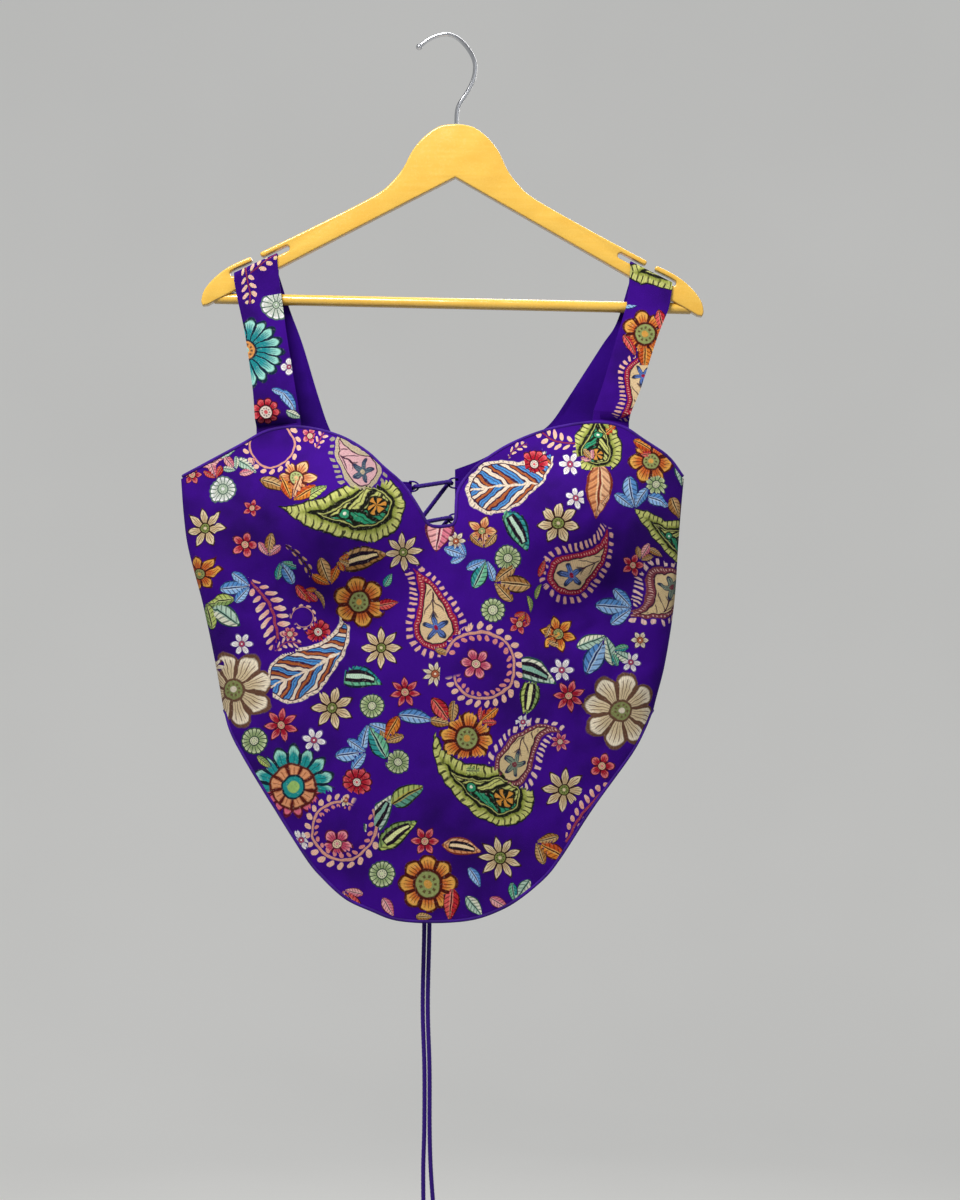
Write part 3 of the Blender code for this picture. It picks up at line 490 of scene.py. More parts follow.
class Wire:
    # A node's output that adds, multiplies and so on as a number does
    def __init__(self, pen, socket):
        self.pen = pen
        self.socket = socket

    def __add__(self, other):
        return self.pen.do("ADD", self, other)

    def __sub__(self, other):
        return self.pen.do("SUBTRACT", self, other)

    def __rsub__(self, other):
        return self.pen.do("SUBTRACT", other, self)

    def __mul__(self, other):
        return self.pen.do("MULTIPLY", self, other)

    def __truediv__(self, other):
        return self.pen.do("DIVIDE", self, other)

    def __rtruediv__(self, other):
        return self.pen.do("DIVIDE", other, self)

    def __pow__(self, other):
        return self.pen.do("POWER", self, other)

    def __abs__(self):
        return self.pen.do("ABSOLUTE", self)

    __radd__ = __add__
    __rmul__ = __mul__


class Pen:
    # Adds nodes to one material, and gives back what each one puts out

    def __init__(self, name):
        self.look = bpy.data.materials.new(name)
        self.look.use_nodes = True
        self.tree = self.look.node_tree
        self.shader = self.tree.nodes["Principled BSDF"]

    def node(self, kind, output, inputs, **settings):
        node = self.tree.nodes.new("ShaderNode" + kind)
        for name, value in settings.items():
            setattr(node, name, value)
        for name, value in inputs.items():
            self.feed(node.inputs[name], value)
        return Wire(self, node.outputs[output])

    def feed(self, socket, value):
        if isinstance(value, Wire):
            self.tree.links.new(value.socket, socket)
        else:
            socket.default_value = value

    def do(self, operation, *values):
        return self.node("Math", 0, dict(enumerate(values)), operation=operation)

    def cos(self, value):
        return self.do("COSINE", value)

    def sin(self, value):
        return self.do("SINE", value)

    def rise(self, value, low, high):
        return self.node("MapRange", 0, {"Value": value, "From Min": low, "From Max": high},
                         interpolation_type="SMOOTHSTEP")

    def fall(self, value, low, high):
        return 1.0 - self.rise(value, low, high)

    def band(self, value, low, high, soft=0.03):
        return self.rise(value, low - soft, low + soft) * self.fall(value, high - soft, high + soft)

    def over(self, under, mask, colour, strength=1.0):
        factor = mask if strength == 1.0 else mask * strength
        node = self.tree.nodes.new("ShaderNodeMix")
        node.data_type = "RGBA"
        for name, value in (("Factor", factor), ("A", under), ("B", colour)):
            self.feed(node.inputs[name], value)
        return Wire(self, node.outputs["Result"])

    def uv(self, name):
        return self.node("UVMap", 0, {}, uv_map=name)

    def split(self, vector):
        node = self.tree.nodes.new("ShaderNodeSeparateXYZ")
        self.feed(node.inputs[0], vector)
        return [Wire(self, output) for output in node.outputs]

    def attribute(self, name, output):
        return self.node("Attribute", output, {}, attribute_name=name)

    def noise(self, vector, scale, detail=3.0, rough=0.6, output=0):
        return self.node("TexNoise", output, {"Vector": vector, "Scale": scale, "Detail": detail,
                                              "Roughness": rough})

    def objectPlace(self):
        return self.node("TexCoord", "Object", {})

    def bump(self, height, distance):
        normal = self.node("Bump", 0, {"Strength": 1.0, "Distance": distance, "Height": height})
        self.feed(self.shader.inputs["Normal"], normal)

    def surface(self, colour, roughness, **others):
        others.update(Base_Color=colour, Roughness=roughness)
        for name, value in others.items():
            self.feed(self.shader.inputs[name.replace("_", " ")], value)
        return self.look


clothLook = {
    "violet": "3d078a", "deep": "28045f", "lining": "340582", "liningDeep": "22035a", "slub": "5a1cb4",
    "gloss": "8a4ae0", "weave": 0.00062, "roughness": 0.80, "sheen": 0.04, "specular": 0.08,
    "relief": 0.00007, "wobble": 0.15, "wander": 75.0, "grain": 520.0,
}


def clothGround(pen, colour, deep):
    # The plain cloth under any print: uneven dye, with the weave as relief
    place = pen.objectPlace()
    broad = pen.noise(place, 14.0, 3.0)
    slub = pen.noise(place, 900.0, 2.0)
    ground = pen.over(linear(deep), pen.rise(broad, 0.25, 0.6), linear(colour))
    u, v, _ = pen.split(pen.uv("cloth"))
    turns = 2 * math.pi / clothLook["weave"]
    weave = pen.sin(u * turns) * pen.sin(v * turns)
    ground = pen.over(ground, pen.rise(weave, -0.2, 1.0) * 0.22, linear(deep))
    ground = pen.over(ground, pen.rise(slub, 0.5, 0.8) * 0.12, linear(clothLook["slub"]))
    return ground, weave + slub * 1.2


def finishCloth(pen, colour, height):
    pen.bump(height, clothLook["relief"])
    return pen.surface(colour, clothLook["roughness"], Sheen_Weight=clothLook["sheen"], Sheen_Roughness=0.5,
                       Sheen_Tint=linear(clothLook["gloss"]), Specular_IOR_Level=clothLook["specular"])


def plainCloth(name, colour, deep):
    pen = Pen(name)
    return finishCloth(pen, *clothGround(pen, colour, deep))


class Motif(Pen):
    # A pen with the motif's own place p and q, drawn a little by hand, its four tints and its form

    def __init__(self, name):
        super().__init__("print_" + name)
        self.colour, self.height = clothGround(self, clothLook["violet"], clothLook["deep"])
        p, q, _ = self.split(self.uv("motif"))
        clothPlace = self.uv("cloth")
        wander = self.split(self.noise(clothPlace, clothLook["wander"], 2.0, 0.5, "Color"))
        self.p = p + (wander[0] - 0.5) * clothLook["wobble"]
        self.q = q + (wander[1] - 0.5) * clothLook["wobble"]
        self.r = self.length(self.p, self.q)
        self.angle = self.do("ARCTAN2", self.q, self.p)
        self.tints = [self.attribute("tint" + letter, "Color") for letter in "ABCD"]
        self.form = self.split(self.attribute("form", "Vector"))
        self.grain = self.noise(clothPlace, clothLook["grain"], 3.0, 0.7)
        self.cover = 0.0

    def length(self, x, y):
        return self.do("SQRT", x * x + y * y)

    def paint(self, mask, tint, strength=1.0):
        self.colour = self.over(self.colour, mask, tint, strength)

    def lay(self, mask, tint):
        # Paint that also stands up from the cloth a little, as stitches do
        self.paint(mask, tint)
        self.cover = self.do("MAXIMUM", self.cover, mask)

    def done(self, threads):
        # Painted shade darkens the grooves between the threads and painted highlights stand where the threads
        # catch the light; the cloth shows through between some of them
        # painted shade in the grooves between the threads
        self.paint(self.rise(threads, 0.1, 0.9) * self.cover, linear("2a1420"), 0.20)
        self.paint(self.rise(self.grain, 0.52, 0.72) * self.cover, linear("35102e"), 0.34)
        # painted highlight: near-white specks where the threads catch the light
        self.paint(self.fall(self.grain, 0.30, 0.44) * self.cover, linear("fff4dc"), 0.20)
        return finishCloth(self, self.colour, self.height + self.cover * 2.4 + self.cover * threads * -0.8)


def drawFlower():
    m = Motif("flower")
    petal, edge, heart, tip = m.tints
    petals, deep, core = m.form
    depth = abs(deep)
    pointed = m.do("LESS_THAN", deep, 0.0)
    wave = m.cos(m.angle * petals)
    lobe = 0.5 + 0.5 * wave
    steep = 1.0 - m.do("ARCCOSINE", wave * 0.9999) * (1 / math.pi)
    shape = lobe ** 0.5 * (1.0 - pointed) + steep ** 0.8 * pointed
    s = m.r / (1.0 - depth + depth * shape)
    inside = m.fall(s, 0.95, 1.0)
    m.lay(inside, edge)
    between = lobe - 0.1 * (1.0 / (m.r + 0.35))
    body = m.fall(s, 0.84, 0.9) * m.rise(between, 0.0, 0.07)
    m.paint(body, m.over(petal, m.rise(s, 0.5, 0.85), tip))
    veins = m.cos(m.angle * (petals * 5.0))
    m.paint(m.rise(veins, 0.55, 0.85) * m.band(s, 0.3, 0.78) * body, edge, 0.7)
    m.paint(m.rise(wave, 0.985, 0.997) * m.band(s, 0.2, 0.7) * body, edge, 0.7)
    hearted = m.r / core
    m.paint(m.fall(hearted, 1.12, 1.25), edge)
    m.paint(m.fall(hearted, 0.88, 1.0), heart)
    ring = m.rise(m.cos(m.angle * 9.0), -0.2, 0.3) * m.band(hearted, 0.48, 0.72)
    m.paint(ring, edge, 0.75)
    m.paint(m.fall(hearted, 0.26, 0.36), tip)
    return m.done(m.cos(m.angle * (petals * 11.0)))


def teardrop(m, body):
    # s is 1 on the outline of a teardrop, and run is the length along it
    x = m.p * body + 0.43
    y = m.q * body * m.form[2]
    r = m.length(x, y)
    turn = abs(m.do("ARCTAN2", y, x) - m.form[0] * (r * r))
    before = 1.206 - turn  # the tail's straight sides touch the round end at this angle
    tail = m.do("MAXIMUM", before, 0.0)
    s = r * m.cos(tail) * 2.0
    run = m.do("MAXIMUM", before * -1.0, 0.0) * 0.5 - r * m.sin(tail)
    return s, run, r, x, y


def drawPaisley():
    m = Motif("paisley")
    rim, line, inner, accent = m.tints
    s, run, _, x, y = teardrop(m, 1.0)
    m.lay(m.fall(s, 0.98, 1.02), line)
    band = m.band(s, 0.66, 0.95, 0.02)
    m.paint(band, m.over(rim, m.fall(s, 0.68, 0.82), linear("96a044")))
    ticks = m.cos(run * 58.0)
    m.paint(m.rise(ticks, 0.55, 0.85) * m.band(s, 0.76, 0.97, 0.03), line, 0.9)
    m.paint(m.rise(m.cos(run * 29.0), 0.8, 0.95) * m.band(s, 0.64, 0.8, 0.03), line, 0.6)
    m.paint(m.band(s, 0.52, 0.555, 0.012), rim, 0.8)
    inmost = m.fall(s, 0.47, 0.5)
    across = abs(y)
    pairs = m.do("FRACT", x * 4.6 + across * 5.2)
    m.paint(m.band(pairs, 0.14, 0.78, 0.06) * inmost, m.over(inner, m.rise(y, -0.01, 0.01), rim))
    m.paint(m.band(pairs, 0.4, 0.5, 0.03) * inmost, line, 0.8)
    m.paint(m.fall(across, 0.018, 0.03) * inmost, line)
    head = m.length(x + 0.06, y)
    m.paint(m.fall(head, 0.15, 0.17) * inmost, line)
    blossom = m.cos(m.do("ARCTAN2", y, x + 0.06) * 6.0)
    m.paint(m.fall(head, 0.12, 0.14) * m.rise(blossom, -0.5, 0.0), accent)
    bead = m.length(x - 0.42, y)
    m.paint(m.fall(bead, 0.085, 0.1), line)
    m.paint(m.fall(bead, 0.06, 0.075), inner)
    m.paint(m.fall(bead, 0.02, 0.03), linear("f4f4e0"))
    return m.done(m.cos(run * 150.0))


def drawRayPaisley():
    m = Motif("ray_paisley")
    fill, outline, ray, cool = m.tints
    s, run, r, x, y = teardrop(m, 1.24)
    rays = m.cos(run * 46.0)
    swell = 0.15 - abs(s - 1.26) * 1.9
    near = m.fall(r, 1.45, 1.5)
    m.lay(m.rise(rays + swell, -0.1, 0.25) * m.band(s, 1.11, 1.42, 0.03) * near, ray)
    m.lay(m.fall(s, 1.0, 1.04), outline)
    m.paint(m.rise(m.cos(run * 92.0), 0.2, 0.6) * m.band(s, 0.86, 0.94, 0.02), ray, 0.8)
    m.paint(m.fall(s, 0.78, 0.81), linear("3a1430"))
    m.paint(m.fall(s, 0.72, 0.75), fill)
    inmost = m.fall(s, 0.68, 0.7)
    across = abs(y)
    pairs = m.do("FRACT", x * 3.6 + across * 4.4)
    tailward = m.rise(x, 0.22, 0.26)
    m.paint(m.band(pairs, 0.25, 0.42, 0.04) * inmost * tailward, linear("3a1430"), 0.85)
    m.paint(m.fall(across, 0.012, 0.024) * inmost * tailward, linear("3a1430"))
    around = m.cos(m.do("ARCTAN2", y, x) * 5.0)
    blossom = r / (0.21 + 0.1 * around)
    m.paint(m.fall(blossom, 1.0, 1.12) * inmost, linear("24304e"))
    m.paint(m.fall(blossom, 0.78, 0.88) * inmost, cool)
    m.paint(m.rise(around, 0.96, 0.99) * m.fall(blossom, 0.8, 0.9), linear("24304e"))
    m.paint(m.fall(r, 0.05, 0.065), outline)
    return m.done(m.cos(run * 150.0))


def drawStripedPaisley():
    m = Motif("striped_paisley")
    light, outline, blue, warm = m.tints
    s, run, _, x, y = teardrop(m, 1.0)
    m.lay(m.fall(s, 0.99, 1.03), light)
    m.paint(m.rise(m.cos(run * 70.0), 0.5, 0.85) * m.band(s, 0.93, 1.0, 0.02), outline, 0.6)
    m.paint(m.fall(s, 0.89, 0.91), outline)
    inside = m.fall(s, 0.85, 0.87)
    across = abs(y)
    feather = x * 2.7 + across * 3.1
    step = m.do("FRACT", feather)
    m.paint(m.band(step, 0.06, 0.34, 0.03) * inside, blue)
    m.paint(m.band(step, 0.44, 0.66, 0.03) * inside, light)
    m.paint(m.band(step, 0.76, 0.93, 0.03) * inside, warm)
    m.paint(m.band(step, 0.17, 0.22, 0.02) * inside, outline, 0.8)
    m.paint(m.fall(across, 0.012, 0.026) * inside, light)
    return m.done(m.cos(feather * 44.0))


def drawLeaf():
    m = Motif("leaf")
    fill, edge, vein, half = m.tints
    ratio, bend, hollow = m.form
    q = m.q - bend * (m.p * m.p - 0.35)
    belly = m.do("MAXIMUM", 1.0 - m.p * m.p, 0.0001) ** 0.95
    reach = ratio * belly * (1.0 - m.p * 0.35)
    off = abs(q)
    s = off / reach
    inside = m.fall(s, 0.98, 1.05) * m.fall(abs(m.p), 0.97, 1.0)
    m.lay(inside, edge)
    body = m.fall(s, 0.78, 0.86) * m.fall(abs(m.p), 0.86, 0.9)
    m.paint(body, m.over(fill, m.rise(q, -0.02, 0.02), half))
    slant = m.sin(m.p * 21.0 - off * 7.0 / ratio)
    m.paint(m.rise(slant, 0.5, 0.85) * body, edge, 0.7)
    dark = m.fall(s, 0.5, 0.58) * m.fall(abs(m.p), 0.6, 0.66) * hollow
    m.paint(dark, linear("160a1e"))
    m.paint(m.fall(s, 0.16, 0.22) * m.fall(abs(m.p), 0.56, 0.6) * hollow, vein)
    m.paint(m.fall(off, 0.03, 0.055) * body * (1.0 - hollow), edge)
    m.paint(m.band(s, 0.1, 0.22, 0.03) * body * (1.0 - hollow), vein, 0.6)
    return m.done(m.sin(m.p * 64.0 - off * 20.0 / ratio))


def leaflets(m, along, off, low, high):
    # Pointed dashes in a row: one a turn of along, from off low to high
    share = (off - low) / (high - low)
    middle = share * 2.0 - 1.0
    needed = -0.45 + middle * middle * 1.35
    comb = m.cos(along) - needed
    return m.rise(comb, 0.0, 0.18) * m.rise(share, 0.0, 0.05) * m.fall(share, 0.95, 1.0)


def drawVine():
    m = Motif("vine")
    stem, _, leaflet, other = m.tints
    ring = 0.78 - m.angle * 0.05
    off = m.r - ring
    opened = m.fall(m.angle, 2.45, 2.6)
    outer = leaflets(m, m.angle * m.form[0] - off * 9.0, off, 0.05, 0.24)
    inner = leaflets(m, m.angle * m.form[0] + off * 9.0, off * -1.0, 0.05, 0.18)
    m.lay(outer * opened, leaflet)
    m.lay(inner * opened * m.form[1], other)
    m.lay(m.fall(abs(off), 0.022, 0.042) * opened, stem)
    return m.done(m.cos(m.angle * 120.0))


def drawFern():
    m = Motif("fern")
    dash, spine, tip, _ = m.tints
    q = m.q - m.form[0] * (m.p * m.p - 0.4)
    off = abs(q)
    span = m.do("SQRT", m.do("MAXIMUM", 1.0 - m.p * m.p, 0.0001))
    reach = span * m.form[1] * (0.75 + m.p * 0.25)
    rows = leaflets(m, m.p * m.form[2] - off * 10.0, off, 0.06, reach + 0.02)
    m.lay(rows * m.fall(abs(m.p), 0.95, 1.0), m.over(dash, m.rise(off, 0.12, 0.3), tip))
    m.lay(m.fall(off, 0.022, 0.045) * m.fall(abs(m.p), 0.92, 1.0), spine)
    return m.done(m.cos(m.p * 120.0))


def drawFan():
    m = Motif("fan")
    teal, dark, heart, pink = m.tints
    up = m.fall(abs(m.angle), m.form[1], m.form[1] + 0.06)
    wave = m.cos(m.angle * m.form[0])
    lobe = 0.5 + 0.5 * wave
    s = m.r / (0.78 + 0.22 * m.do("SQRT", lobe))
    inside = m.fall(s, 0.95, 1.0)
    m.lay(inside * up, dark)
    paler = m.over(teal, m.rise(s, 0.74, 0.86), linear("9fe0d0"))
    m.paint(m.fall(s, 0.88, 0.93) * m.rise(lobe, 0.1, 0.2) * up, paler)
    m.paint(m.rise(wave, 0.97, 0.99) * m.band(s, 0.5, 0.8) * up, dark, 0.6)
    m.lay(m.fall(s, 0.7, 0.74) * (1.0 - up), linear("5e0f2a"))
    m.paint(m.rise(lobe, 0.16, 0.26) * m.fall(s, 0.62, 0.66) * (1.0 - up), pink)
    m.paint(m.fall(m.r, 0.52, 0.56), linear("5a1a14"))
    petals = m.cos(m.angle * 9.0)
    m.paint(m.rise(petals, -0.8, -0.5) * m.fall(m.r, 0.46, 0.5), linear("e8a070"))
    veins = m.cos(m.angle * 27.0)
    m.paint(m.rise(veins, 0.4, 0.8) * m.band(m.r, 0.28, 0.44), linear("a8502c"), 0.7)
    m.paint(m.fall(m.r, 0.26, 0.29), dark)
    m.paint(m.fall(m.r, 0.21, 0.24), teal)
    m.paint(m.fall(m.r, 0.11, 0.14), heart)
    return m.done(m.cos(m.angle * 110.0))


# The print: what stands where, by the photo's pixels

tintSets = {  # four tints each
    "beige": "d9bd90 33160f 8a9a4e f0dcb4", "big": "dcc8a0 6a4a38 8a9458 f6ead0",
    "crimson": "b81c34 4a0820 f6c8a0 ec7c80", "pink": "cc4c6c 5a1030 f6dcb8 f49aa4",
    "white": "f6f0e8 7a6498 c03a50 ffffff", "cream": "ecdab6 6e4434 d0704a fbf4e0",
    "button": "b4cc8c 2f4c36 eef0cc dce8b8", "pale": "e6eee0 5c7a68 c8dcc0 ffffff",
    "rosette": "c41c30 4e0818 fbeadc ea5c64", "orange": "d4682a 4c140a 98a462 eeb050",
    "peach": "e08a58 5c1e14 b4c480 f8cc90", "tealDaisy": "1f9ea4 08283c f0a458 a0e2d4",
    "lime": "ccd078 12180a 2c9a70 e09a3c", "sage": "b4c46c 20281a d4ac40 5fa48c",
    "ray": "e8ca9c a81c3c f0b8a8 5c7cc4", "greyRay": "cfa3a8 b9ab8e 9f9883 4b5f6e",
    "pinkRay": "e8c8a0 8c2c48 f0bcb0 c07080", "beigeRay": "d8c090 7e3c44 ecc8bc 7c8c78",
    "stripe": "f2dfc8 3c1c3c 4a96dc b4602e", "tealLeaf": "2f9c9a 082430 c8e8d0 70c49a",
    "greenLeaf": "8aa860 16240e e4eaa4 c0d070", "whiteLeaf": "e6e8d0 1e4840 8cbca8 bcd8c4",
    "orangeLeaf": "e0822c 541408 f8d474 cc541c", "peachLeaf": "e8b488 7c2c1c f8dcb0 dc9460",
    "redLeaf": "c02430 3e0812 f6a888 e45a58", "blueLeaf": "5c98d8 142c64 e0eef8 98c4f0",
    "tanLeaf": "cca068 34180c f4dca4 b07c40", "pinkLeaf": "e07c90 5c1430 fcdcd8 f4b0b0",
    "vine": "dc9c88 5a2030 f0c0a8 e08c88", "fern": "e8a898 a03c54 f4d0bc d07888",
    "fan": "1c9c9c 082434 b0dc78 e46c84",
}
kinds = ("ground", "flower", "paisley", "rayPaisley", "stripedPaisley", "leaf", "vine", "fern", "fan")
bodicePrint = {
    # x, y, radius, turn, tints, petals, depth (below 0 for pointed petals), heart
    "flower": (
        (621, 711, 41, 12, "big", 8, 0.24, 0.24), (233, 690, 41, 30, "big", 8, 0.24, 0.24),
        (205, 528, 22, 10, "beige", 7, -0.62, 0.2), (403, 552, 22, 40, "beige", 8, -0.60, 0.2),
        (381, 648, 23, 0, "beige", 8, -0.58, 0.2), (332, 708, 24, 25, "beige", 7, -0.60, 0.2),
        (558, 523, 24, 15, "beige", 7, -0.50, 0.24), (564, 790, 25, 5, "beige", 8, -0.58, 0.2),
        (500, 858, 24, 20, "beige", 9, -0.56, 0.22), (482, 531, 17, 0, "peach", 5, -0.6, 0.2),
        (245, 545, 14, 0, "crimson", 5, 0.55, 0.26), (281, 725, 19, 20, "crimson", 7, -0.6, 0.2),
        (405, 692, 17, 10, "crimson", 7, -0.6, 0.22), (425, 841, 16, 0, "crimson", 6, -0.55, 0.24),
        (569, 696, 18, 30, "crimson", 7, -0.6, 0.2), (602, 766, 14, 0, "crimson", 5, 0.5, 0.26),
        (519, 624, 12, 0, "crimson", 5, -0.6, 0.26), (252, 508, 10, 0, "crimson", 5, -0.6, 0.26),
        (633, 565, 13, 0, "crimson", 5, -0.6, 0.22), (476, 664, 17, 10, "pink", 6, 0.42, 0.26),
        (337, 844, 17, 15, "pink", 5, 0.40, 0.26), (242, 644, 12, 0, "white", 6, 0.6, 0.24),
        (314, 740, 13, 12, "white", 6, 0.6, 0.24), (570, 464, 13, 0, "white", 6, 0.6, 0.24),
        (576, 498, 12, 20, "white", 6, 0.6, 0.24), (562, 670, 13, 0, "white", 6, 0.6, 0.24),
        (631, 662, 11, 10, "white", 6, 0.6, 0.24), (301, 840, 12, 0, "white", 6, 0.6, 0.24),
        (435, 674, 14, 0, "cream", 9, -0.55, 0.26), (456, 541, 11, 0, "cream", 7, -0.5, 0.26),
        (223, 489, 14, 0, "pale", 16, 0.06, 0.34), (254, 741, 14, 0, "button", 16, 0.06, 0.30),
        (372, 706, 13, 0, "button", 16, 0.06, 0.30), (398, 762, 13, 0, "button", 16, 0.06, 0.30),
        (382, 874, 14, 0, "button", 16, 0.06, 0.34), (508, 558, 14, 0, "button", 16, 0.06, 0.30),
        (493, 610, 13, 0, "button", 14, 0.12, 0.36), (357, 782, 16, 0, "rosette", 11, 0.12, 0.26),
        (534, 464, 16, 0, "rosette", 11, 0.12, 0.26), (318, 632, 14, 0, "rosette", 10, 0.14, 0.28),
        (268, 410, 13, 0, "rosette", 10, 0.16, 0.30), (359, 602, 28, 20, "orange", 6, 0.24, 0.36),
        (467, 738, 29, 10, "orange", 8, 0.18, 0.38), (428, 884, 31, 0, "orange", 8, 0.16, 0.42),
        (558, 634, 20, 15, "orange", 6, -0.5, 0.26), (651, 461, 25, 0, "orange", 6, 0.30, 0.32),
        (199, 574, 19, 0, "orange", 7, -0.4, 0.26), (296, 478, 22, 60, "peach", 6, -0.45, 0.30),
        (212, 668, 12, 0, "cream", 7, -0.5, 0.26), (523, 722, 10, 0, "white", 6, 0.6, 0.24),
        (560, 742, 11, 0, "pink", 7, -0.55, 0.24), (290, 634, 9, 0, "pink", 6, -0.5, 0.3),
        (346, 800, 8, 0, "cream", 6, -0.5, 0.3), (192, 475, 11, 0, "crimson", 6, -0.5, 0.3),
        (656, 484, 12, 0, "button", 9, 0.3, 0.3), (310, 436, 9, 0, "pink", 5, 0.5, 0.3),
        (640, 640, 10, 0, "cream", 6, -0.5, 0.3),
    ),
    # x, y, half length, turn of the tail, tints, bend, which way it curls, and how narrow
    "paisley": (
        (343, 514, 75, 171, "lime", 0.06, 1, 1.05), (471, 787, 71, 197, "lime", 0.32, 1, 1.22),
        (668, 536, 44, 200, "lime", 0.10, 1), (598, 434, 42, -88, "lime", 0.05, 1, 0.74),
    ),
    "rayPaisley": (
        (434, 609, 54, -95, "ray", 0.13, -1), (587, 567, 52, -27, "ray", 0.18, -1),
        (350, 461, 47, 215, "greyRay", 0.30, 1), (521, 745, 59, -70, "beigeRay", 0.42, 1, 1.28),
        (668, 604, 50, 112, "beigeRay", 0.30, 1),
    ),
    "stripedPaisley": (
        (320, 664, 63, -26, "stripe", 0.34, -1, 1.25), (522, 484, 58, 0, "stripe", 0.60, -1, 1.12),
    ),
    # x, y, half length, turn, tints, half width to half length, bend and hollow where not 0
    "leaf": (
        (362, 559, 28, -14, "tanLeaf", 0.42, 0.15, 1), (360, 678, 24, 8, "tealLeaf", 0.48, 0.2, 1),
        (517, 529, 25, 62, "tealLeaf", 0.42, 0.1, 1), (598, 489, 29, 96, "peachLeaf", 0.46, 0.15),
        (274, 484, 15, 20, "tanLeaf", 0.46, 0.1), (316, 492, 14, -30, "greenLeaf", 0.4, 0.1),
        (462, 847, 21, 10, "peachLeaf", 0.42, 0.1, 1), (533, 672, 26, 20, "whiteLeaf", 0.44, 0.2, 1),
        (529, 697, 22, 100, "greenLeaf", 0.45, 0.1, 1), (379, 816, 27, -58, "whiteLeaf", 0.40, 0.1, 1),
        (397, 834, 25, -36, "greenLeaf", 0.42, 0.1, 1), (407, 795, 20, -30, "sage", 0.50, 0.1),
        (388, 580, 8, -60, "tealLeaf", 0.55), (439, 532, 20, 98, "pinkLeaf", 0.72),
        (471, 771, 12, 0, "greenLeaf", 0.5), (387, 604, 12, -10, "redLeaf", 0.5),
        (416, 717, 19, 10, "blueLeaf", 0.40, 0.1), (658, 500, 13, 20, "blueLeaf", 0.5),
        (676, 508, 12, 70, "tanLeaf", 0.5), (228, 452, 12, -35, "whiteLeaf", 0.35, 0.1),
        (213, 463, 13, -20, "pinkLeaf", 0.38, 0.1), (250, 467, 10, 40, "whiteLeaf", 0.4),
        (475, 877, 12, 60, "blueLeaf", 0.45, 0.1), (499, 903, 11, 30, "pinkLeaf", 0.5),
        (388, 907, 11, 60, "pinkLeaf", 0.5), (474, 906, 13, 50, "whiteLeaf", 0.5),
        (451, 904, 17, 95, "redLeaf", 0.5), (424, 917, 9, 0, "tanLeaf", 0.5),
        (538, 591, 9, -70, "greenLeaf", 0.30, 0.2), (530, 604, 9, 80, "greenLeaf", 0.30, 0.2),
        (542, 568, 10, -70, "redLeaf", 0.35), (604, 500, 9, 130, "peachLeaf", 0.4),
        (303, 594, 12, 50, "redLeaf", 0.45), (320, 598, 12, 60, "tanLeaf", 0.22, 0.3),
        (264, 762, 10, 40, "greenLeaf", 0.4), (443, 652, 9, 20, "tanLeaf", 0.4),
        (609, 430, 12, -40, "orangeLeaf", 0.4), (420, 500, 10, 60, "greenLeaf", 0.4),
        (655, 552, 9, 30, "tanLeaf", 0.4), (681, 473, 14, 82, "whiteLeaf", 0.4),
        (240, 441, 12, -30, "redLeaf", 0.4, 0.1), (597, 418, 9, 20, "orangeLeaf", 0.5),
    ),
    # x, y, radius, turn, tints, leaflets, inner leaflets
    "vine": (
        (270, 446, 28, 60, "vine", 17, 0.0), (481, 669, 42, 20, "vine", 25, 1.0),
        (341, 828, 38, 150, "vine", 23, 1.0), (303, 618, 13, 0, "vine", 10, 0.0),
    ),
    # x, y, half length, turn, tints, bend, half width, comb
    "fern": (
        (265, 611, 40, 66, "fern", 0.38, 0.46, 30), (288, 645, 15, -15, "fern", 0.5, 0.5, 18),
        (587, 812, 38, -52, "fern", 0.12, 0.34, 30), (322, 437, 15, -60, "fern", 0.1, 0.45, 16),
        (300, 560, 22, 50, "tanLeaf", 0.2, 0.2, 14), (556, 439, 24, -160, "pinkRay", 0.2, 0.5, 20),
        (517, 449, 12, -35, "pinkRay", 0.2, 0.45, 12), (681, 640, 16, 95, "pinkRay", 0.1, 0.4, 14),
    ),
    "fan": ((293, 787, 44, -90, "fan", 15, 1.75, 0.0),),
}
